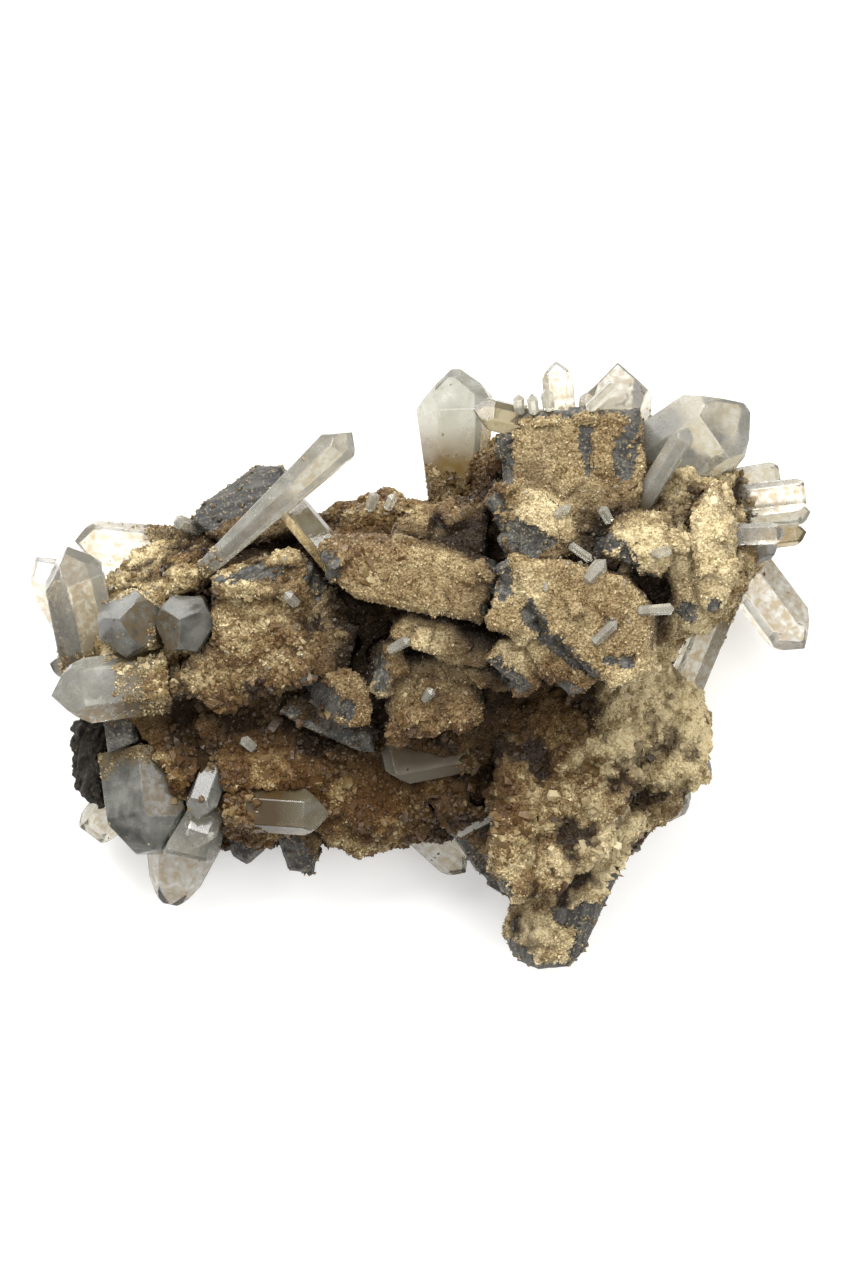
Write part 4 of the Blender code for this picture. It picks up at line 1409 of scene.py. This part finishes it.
@dataclass
class Grains:
    """The sugary crystals strewn over the druse, each a three-sided double pyramid.

    A surface that faces down gets the share underneath of the grains, and a grain stands margin
    times the largest size inside the box. Its way out is looked along from start_out for clear_way.
    """

    per_mm2: float = 14.0
    underneath: float = 0.35
    most: int = 140000
    per_piece: int = 30000
    smallest: float = 0.16 * MM
    largest: float = 0.58 * MM
    margin: float = 0.6
    start_out: float = 0.12 * MM
    clear_way: float = 0.8 * MM
    lean: float = 0.9
    seed: int = 5

    def on_skin(self, skin: Skin, setting: Setting, dice: np.random.Generator) -> Spots:
        """Chooses places on one skin, spread evenly over its area and thinned by its cover.

        Args:
            skin: The skin.
            setting: What the pieces are fitted to.
            dice: The source of random numbers.

        Returns:
            The places.
        """
        mesh = skin.mesh
        mesh.calc_loop_triangles()
        corners = np.empty(len(mesh.loop_triangles) * 3, np.int32)
        mesh.loop_triangles.foreach_get("vertices", corners)
        corners = corners.reshape(-1, 3)
        points, _ = vertex_arrays(mesh)
        a, b, c = (points[corners[:, k]] for k in range(3))
        cross = np.cross(b - a, c - a)
        area = np.linalg.norm(cross, axis=1) / 2
        weight = area * np.where(cross[:, 2] < -0.7 * area, self.underneath, 1.0)
        count = dice.poisson(weight.sum() * self.per_mm2 * skin.density / MM**2)
        picked = dice.choice(len(area), count, p=weight / weight.sum())
        mix = dice.random((count, 2))
        mix = np.where(mix.sum(axis=1, keepdims=True) > 1, 1 - mix, mix)
        mix = np.column_stack((1 - mix.sum(axis=1), mix))
        places = np.einsum("nk,nkd->nd", mix, points[corners[picked]])
        normals = unit(cross[picked])
        keep = dice.random(count) < skin.cover(places, normals)
        places, normals = places[keep], normals[keep]
        return Spots(places, normals, *setting.colouring(places, normals, skin.rough))

    def open_spots(self, spots: list[Spots], setting: Setting, tree: BVHTree) -> Spots:
        """Joins the places and keeps those inside the box whose way out is clear.

        Args:
            spots: The places on each skin.
            setting: What the pieces are fitted to.
            tree: Every dressed solid.

        Returns:
            The kept places, no more than most.
        """
        joined = joined_up(spots)
        low, high = (np.array(corner) for corner in setting.box)
        inside = np.all(joined.place > low + self.margin * self.largest, axis=1)
        inside &= np.all(joined.place < high - self.margin * self.largest, axis=1)
        joined = joined.chosen(inside)
        starts = joined.place + joined.normal * self.start_out
        clear = [
            tree.ray_cast(start, way, self.clear_way)[0] is None
            for start, way in zip(starts.tolist(), joined.normal.tolist())
        ]
        joined = joined.chosen(np.array(clear))
        log.info("open spots: %d", len(joined))
        order = np.random.default_rng(self.seed).permutation(len(joined))[:self.most]
        return joined.chosen(order)

    def build(self, spots: Spots) -> list[bpy.types.Object]:
        """Makes the grains as a few joined meshes, sorted from left to right.

        Args:
            spots: The places that the grains stand on.

        Returns:
            The pieces.
        """
        material = DruseFinish().grains()
        order = np.argsort(spots.place[:, 0])
        pieces = []
        for first in range(0, len(order), self.per_piece):
            part = spots.chosen(order[first:first + self.per_piece])
            mesh = self.joined(part, f"druse_grains_{len(pieces) + 1}", len(pieces))
            pieces.append(add_piece(mesh, mesh.name, material))
        log.info("druse grains: %d in %d pieces", len(order), len(pieces))
        return pieces

    def joined(self, part: Spots, name: str, number: int) -> bpy.types.Mesh:
        """Many double pyramids as one mesh.

        Each is three corners on a ring round its axis and one point at either end of the axis. The
        axis is the surface's normal with a random lean.

        Args:
            part: The places.
            name: The mesh's name.
            number: Chooses the random numbers.

        Returns:
            The mesh.
        """
        dice = np.random.default_rng(self.seed + 100 + number)
        count = len(part)
        axis = unit(part.normal + self.lean * dice.normal(size=(count, 3)))
        side = unit(np.cross(axis, dice.normal(size=(count, 3))))
        third = np.cross(axis, side)
        size = self.smallest + (self.largest - self.smallest) * dice.beta(1.3, 4.2, count)
        tall = size * dice.uniform(0.9, 2.0, count)
        base = part.place + part.normal * (size * dice.uniform(-0.10, 0.22, count))[:, None]
        ring = []
        for k in range(3):
            turn = math.tau * k / 3
            ring.append(base + (side * math.cos(turn) + third * math.sin(turn)) * (size * 0.55)[:, None])
        top = base + axis * (tall * 0.55)[:, None]
        bottom = base - axis * (tall * 0.45)[:, None]
        corners = np.stack((*ring, top, bottom), axis=1)
        corners[..., 2] = np.maximum(corners[..., 2], 0.0)
        faces = np.array(((0, 1, 3), (1, 2, 3), (2, 0, 3), (1, 0, 4), (2, 1, 4), (0, 2, 4)))
        each = corners.shape[1]
        numbers = (faces[None] + each * np.arange(count)[:, None, None]).reshape(-1, 3)
        mesh = mesh_from_arrays(name, corners.reshape(-1, 3), numbers)
        set_per_crystal(mesh, each, tint=dice.beta(1.1, 1.3, count), tone=part.tone, stain=part.stain)
        return mesh


@dataclass(frozen=True)
class Strewing:
    """Coarse crystals strewn over a round stretch of druse, seen from above, in millimetres.

    widths are the least and the greatest, and clear chooses quartz rather than brown crystals.
    """

    x: float
    y: float
    radius: float
    count: int
    widths: tuple[float, float]
    clear: bool = False


STREWN = (
    Strewing(-19.0, 3.0, 10.5, 1500, (0.45, 1.3)),
    Strewing(-31.6, -2.0, 2.8, 320, (0.5, 1.4)),
    Strewing(-36.4, 1.6, 2.8, 160, (0.4, 1.1)),
    Strewing(-29.6, 1.4, 2.8, 160, (0.4, 1.1)),
    Strewing(6.0, 23.0, 4.5, 260, (0.5, 1.3)),
    Strewing(-22.0, -17.8, 2.2, 200, (0.5, 1.3)),
    Strewing(-34.0, 10.0, 7.0, 350, (0.4, 1.2)),
    Strewing(-8.0, 17.5, 7.5, 500, (0.45, 1.5)),
    Strewing(-21.0, -12.5, 12.0, 1500, (0.5, 1.8)),
    Strewing(34.0, 20.0, 8.0, 800, (0.45, 1.5)),
    Strewing(32.0, -7.0, 8.0, 500, (0.5, 1.6)),
    Strewing(18.0, -16.0, 12.0, 1500, (0.5, 1.9)),
    Strewing(0.0, -15.0, 9.0, 700, (0.5, 1.7)),
    Strewing(3.0, -4.0, 6.0, 200, (0.4, 1.2)),
    Strewing(-33.0, 10.0, 6.0, 40, (0.4, 0.9), True),
    Strewing(21.0, 8.0, 7.0, 50, (0.4, 1.0), True),
    Strewing(20.0, 20.0, 7.0, 25, (0.4, 0.9), True),
    Strewing(36.0, 20.0, 6.0, 60, (0.4, 1.1), True),
    Strewing(-19.0, 4.0, 10.0, 30, (0.4, 1.0), True),
)


@dataclass
class Prisms:
    """Pointed prisms by the ends of their axes, with their widths, tone, and stain with painted shade."""

    starts: np.ndarray
    ends: np.ndarray
    widths: np.ndarray
    tone: np.ndarray
    stain: np.ndarray


def joined_up(lots: list[Spots] | list[Prisms]) -> Spots | Prisms:
    """All that several lots of spots, or of prisms, hold, in the order of the lots."""
    names = [part.name for part in fields(lots[0])]
    return type(lots[0])(*(np.concatenate([getattr(lot, name) for lot in lots]) for name in names))


@dataclass
class Spray:
    """Small crystals on the druse: six-sided quartz prisms and four-sided brown ones, all pointed.

    A needle whose two ends would lie steepest or more apart in height is laid level instead. An end
    with nothing under it counts as spare_height high. The strewn prisms stand sunk by the share
    sunk of their length.
    """

    lean: float = 1.6
    sunk: float = 0.50
    steepest: float = 4.0 * MM
    spare_height: float = 20.0 * MM
    seed: int = 31

    def build(self, tree: BVHTree, spots: Spots, glass: bpy.types.Material,
              setting: Setting) -> list[bpy.types.Object]:
        """Makes one piece of the listed needles, one of strewn clear prisms and one of brown ones.

        Args:
            tree: The dressed skins, for finding the height under each listed needle.
            spots: Places on the druse, from which the strewn prisms take theirs.
            glass: The finish of clear crystals.
            setting: What the pieces are fitted to.

        Returns:
            The pieces.
        """
        clear = joined_up([self.strewn(s, spots, setting.shift) for s in STREWN if s.clear])
        brown = joined_up([self.strewn(s, spots, setting.shift) for s in STREWN if not s.clear])
        return [
            self.piece("quartz_needles", self.needles(tree, setting.shift), 6, glass, setting.box),
            self.piece("druse_prisms_clear", clear, 6, glass, setting.box),
            self.piece("druse_prisms_brown", brown, 4, DruseFinish().prisms(), setting.box),
        ]

    def needles(self, tree: BVHTree, shift: np.ndarray) -> Prisms:
        """The listed needles, each laid on what lies under it.

        Args:
            tree: The dressed skins.
            shift: Where the lists' own origin lies in the frame, in metres.

        Returns:
            The needles as prisms without tone or stain.
        """
        starts, ends = [], []
        for needle in NEEDLES:
            low, high = (np.array((*spot, 0.0)) * MM + shift for spot in (needle.start, needle.end))
            for spot in (low, high):
                hit = tree.ray_cast((spot[0], spot[1], 1.0), (0.0, 0.0, -1.0))[0]
                spot[2] = hit.z if hit else self.spare_height
            high[2] = max(low[2], high[2]) if abs(high[2] - low[2]) < self.steepest else low[2]
            high[2] += needle.rise * MM
            starts.append(low)
            ends.append(high)
        widths = np.array([needle.width * MM for needle in NEEDLES])
        plain = np.zeros(len(NEEDLES))
        return Prisms(np.array(starts), np.array(ends), widths, plain, plain)

    def strewn(self, strewing: Strewing, spots: Spots, shift: np.ndarray) -> Prisms:
        """Prisms on random places of one stretch, half sunk and leaning every way.

        Args:
            strewing: The stretch, with the count and the widths of its prisms.
            spots: Places on the druse.
            shift: Where the lists' own origin lies in the frame, in metres.

        Returns:
            The prisms.
        """
        dice = np.random.default_rng(self.seed + int(abs(strewing.x) * 7 + strewing.count))
        centre = np.array((strewing.x, strewing.y)) * MM + shift[:2]
        near = np.linalg.norm(spots.place[:, :2] - centre, axis=1) < strewing.radius * MM
        near &= spots.normal[:, 2] > -0.1
        numbers = np.flatnonzero(near)
        count = min(strewing.count, len(numbers))
        part = spots.chosen(dice.choice(numbers, count, replace=False))
        way = unit(part.normal + self.lean * dice.normal(size=(count, 3)))
        low, high = strewing.widths
        width = (low + (high - low) * dice.beta(1.0, 3.0, count)) * MM
        length = width * dice.uniform(1.0, 2.0, count)
        starts = part.place - way * (length * self.sunk)[:, None] - part.normal * (width * 0.15)[:, None]
        return Prisms(starts, starts + way * length[:, None], width, part.tone, part.stain)

    def piece(self, name: str, prisms: Prisms, sides: int, material: bpy.types.Material,
              box: tuple[Vector, Vector]) -> bpy.types.Object:
        """Many prisms as one mesh: a root point, two rings of corners and a tip point each.

        Four-sided prisms are flattened by differing shares, six-sided ones are regular.

        Args:
            name: The piece's name.
            prisms: The prisms.
            sides: How many sides each has.
            material: Their finish.
            box: The lowest and highest corner that nothing may pass.

        Returns:
            The piece.
        """
        dice = np.random.default_rng(self.seed)
        widths = prisms.widths
        margin = Vector((1, 1, 1)) * float(widths.max()) / 2
        room = (box[0] + margin, box[1] - margin)
        starts, ends = kept_inside(prisms.starts, room), kept_inside(prisms.ends, room)
        count = len(starts)
        axis = unit(ends - starts)
        side = unit(np.cross(axis, dice.normal(size=(count, 3))))
        third = np.cross(axis, side)
        if sides == 4:
            third *= dice.uniform(0.55, 1.0, (count, 1))
        shoulder = ends - axis * (widths * dice.uniform(0.15, 0.6, count))[:, None]
        corners = np.empty((count, 2 * sides + 2, 3))
        corners[:, 0] = starts
        corners[:, -1] = ends
        for k in range(sides):
            turn = math.tau * k / sides
            out = (side * math.cos(turn) + third * math.sin(turn)) * (widths / 2)[:, None]
            corners[:, 1 + k] = starts + axis * (widths * 0.3)[:, None] + out * 0.9
            corners[:, 1 + sides + k] = shoulder + out
        faces = []
        for k in range(sides):
            low, low_next = 1 + k, 1 + (k + 1) % sides
            faces.append((0, low_next, low))
            faces.append((low, low_next, low_next + sides))
            faces.append((low, low_next + sides, low + sides))
            faces.append((low + sides, low_next + sides, 2 * sides + 1))
        each = 2 * sides + 2
        numbers = (np.array(faces)[None] + each * np.arange(count)[:, None, None]).reshape(-1, 3)
        mesh = mesh_from_arrays(name, corners.reshape(-1, 3), numbers)
        set_per_crystal(mesh, each, tint=dice.beta(1.3, 2.0, count), tone=prisms.tone, stain=prisms.stain)
        set_per_crystal(mesh, each, dust=np.zeros(count), rooted=np.full(count, NEVER_ROOTED))
        set_attribute(mesh, "streak", corners.reshape(-1, 3))
        log.info("%s: %d", name, count)
        return add_piece(mesh, name, material)


@dataclass
class Studio:
    """The floor, the lights and the camera above the cluster.

    lens and sensor are in millimetres, and level is the height that the camera frames.
    """

    floor_half: float = 4.0
    floor_glow: float = 0.28
    sky: float = 0.85
    horizon: tuple[float, float, float] = (0.22, 0.22, 0.22)
    overhead: tuple[float, float, float] = (1.0, 0.99, 0.97)
    lens: float = 260.0
    sensor: float = 36.0
    seen_height: float = 160.0 * MM
    level: float = 25.0 * MM
    aim: tuple[float, float] = (0.81 * MM, 3.25 * MM)

    def build(self, shift: np.ndarray) -> None:
        """Sets up everything around the cluster.

        Args:
            shift: Where the lists' own origin lies in the frame, in metres.
        """
        self.floor()
        self.world()
        self.lamp("key", place=(-0.14, 0.52, 0.58), width=0.62, power=9.8)
        self.lamp("fill", place=(0.45, 0.05, 0.75), width=0.60, power=3.0)
        self.camera(shift)
        bpy.context.scene.view_settings.view_transform = "Standard"

    def floor(self) -> None:
        """A wide pale floor at the height that the cluster rests on."""
        half = self.floor_half
        corners = np.array(((-half, -half, 0), (half, -half, 0), (half, half, 0), (-half, half, 0)))
        shader = Shader("floor")
        colour = shader.mix(shader.noise(0.03, 2.0), (0.93, 0.93, 0.92), (0.95, 0.95, 0.94))
        floor = show(mesh_from_arrays("floor", corners, np.array(((0, 1, 2, 3),))), "floor",
                     shader.finish(colour, 0.6, Emission_Strength=self.floor_glow))
        floor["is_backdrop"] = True

    def world(self) -> None:
        """A pale surround that is brightest overhead and grey at the horizon."""
        world = bpy.data.worlds.new("surround")
        world.use_nodes = True
        tree = world.node_tree
        back = tree.nodes["Background"]
        back.inputs["Strength"].default_value = self.sky
        way = tree.nodes.new("ShaderNodeTexCoord")
        split = tree.nodes.new("ShaderNodeSeparateXYZ")
        shade = tree.nodes.new("ShaderNodeValToRGB")
        shade.color_ramp.elements[0].color = (*self.horizon, 1.0)
        shade.color_ramp.elements[1].color = (*self.overhead, 1.0)
        tree.links.new(way.outputs["Generated"], split.inputs["Vector"])
        tree.links.new(split.outputs["Z"], shade.inputs["Fac"])
        tree.links.new(shade.outputs["Color"], back.inputs["Color"])
        bpy.context.scene.world = world

    def lamp(self, name: str, place: tuple[float, float, float], width: float, power: float) -> None:
        """A square soft light that looks at the cluster.

        Args:
            name: The light's name.
            place: Where it hangs, in metres.
            width: How wide it is, in metres.
            power: Its power in watts.
        """
        light = bpy.data.lights.new(name, "AREA")
        light.shape = "SQUARE"
        light.size = width
        light.energy = power
        lamp = bpy.data.objects.new(name, light)
        lamp.location = place
        lamp.rotation_euler = (-Vector(place)).to_track_quat("-Z", "Y").to_euler()
        bpy.context.scene.collection.objects.link(lamp)

    def camera(self, shift: np.ndarray) -> None:
        """A long lens straight above, framed so that seen_height fills the picture's long side.

        Args:
            shift: Where the lists' own origin lies in the frame, in metres.
        """
        camera = bpy.data.cameras.new("camera")
        camera.lens = self.lens
        camera.sensor_width = self.sensor
        camera.clip_start = 0.05
        camera.clip_end = 20.0
        eye = bpy.data.objects.new("camera", camera)
        eye.location = (
            self.aim[0] + shift[0],
            self.aim[1] + shift[1],
            self.seen_height * self.lens / self.sensor + self.level,
        )
        bpy.context.scene.collection.objects.link(eye)
        bpy.context.scene.camera = eye


def list_shift(low: Vector) -> np.ndarray:
    """From the lists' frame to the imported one, whose lowest corner is low: the corners fall together."""
    return np.array((low.x - LIST_CORNER_MM[0] * MM, low.y - LIST_CORNER_MM[1] * MM, 0.0))


def tree_of(meshes: list[bpy.types.Mesh]) -> BVHTree:
    """One search tree over several meshes.

    Args:
        meshes: The meshes, all in the same frame.

    Returns:
        The tree.
    """
    corners, faces, start = [], [], 0
    for mesh in meshes:
        points, _ = vertex_arrays(mesh)
        corners.extend(points.tolist())
        faces.extend([start + v for v in face.vertices] for face in mesh.polygons)
        start += len(points)
    return BVHTree.FromPolygons(corners, faces)


def everywhere(points: np.ndarray, normals: np.ndarray) -> np.ndarray:
    """The cover of druse on the base mass, which is full at every place."""
    return np.ones(len(points))


def climbing(mesh: bpy.types.Mesh, crystal: Quartz) -> Cover:
    """The cover of druse on a quartz point: full at its root and next to none above its climb.

    Args:
        mesh: The crystal's mesh.
        crystal: Its look, which says how far the druse climbs.

    Returns:
        A function of places and normals that gives the share of druse.
    """
    body, _ = vertex_arrays(mesh)
    along = np.array(crystal.pointing)

    def cover(points: np.ndarray, normals: np.ndarray) -> np.ndarray:
        """The share of druse at each place, which fades out over CLIMB_FADE of the length.

        Args:
            points: Places in metres.
            normals: The surface's normals there, which make no difference.

        Returns:
            The share, from the few stray grains to 1.
        """
        rise = rise_along(points, body, along)
        wander = 0.18 * noise_field(points, 2.0 * MM, 41) + 0.14 * noise_field(points, 0.6 * MM, 42)
        return np.clip((crystal.climb - rise + wander) / CLIMB_FADE, STRAY_ON_QUARTZ, 1)

    return cover


def main() -> None:
    """Loads the frame, dresses every solid and sets up the studio."""
    logging.basicConfig(level=logging.INFO, format="%(name)s: %(message)s")
    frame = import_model()
    nodes = frame["nodes"]
    cad_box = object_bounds()

    opaque = [node for name, node in nodes.items() if not name.startswith(CLEAR_NODES)]
    surfaces = [vertex_arrays(fine_skin(node, "probe", PROBE_VOXEL, False))[0] for node in opaque]
    crowding = Crowding()
    crowding.learn(np.concatenate(surfaces))
    setting = Setting(cad_box, list_shift(cad_box[0]), crowding)

    base, blades = DruseMass(), EpidoteTablets()
    mass = base.build(nodes, setting)
    tablets = blades.build(nodes, setting)
    crust = BlackCrust().build(nodes, setting)
    finishes = {finish.habit: finish.material() for finish in QUARTZ_FINISHES}
    points = QuartzPoints().build(nodes, finishes)

    skins = [Skin(mass.data, everywhere, base.rough)]
    on_faces = partial(coat_share, shift=setting.shift)
    skins += [Skin(piece.data, on_faces, blades.roughness(name)) for name, piece in tablets.items()]
    skins += [
        Skin(piece.data, climbing(piece.data, crystal), ROOT_ROUGHNESS, ROOT_DENSITY)
        for piece, crystal in zip(points, QUARTZ)
    ]
    grains = Grains()
    dice = np.random.default_rng(grains.seed)
    spots = [grains.on_skin(skin, setting, dice) for skin in skins]
    tree = tree_of([piece.data for piece in (mass, *tablets.values(), crust, *points)])
    spots = grains.open_spots(spots, setting, tree)
    grains.build(spots)
    Spray().build(tree, spots, finishes[Habit.MILKY], setting)
    Studio().build(setting.shift)


if __name__ == "__main__":
    main()
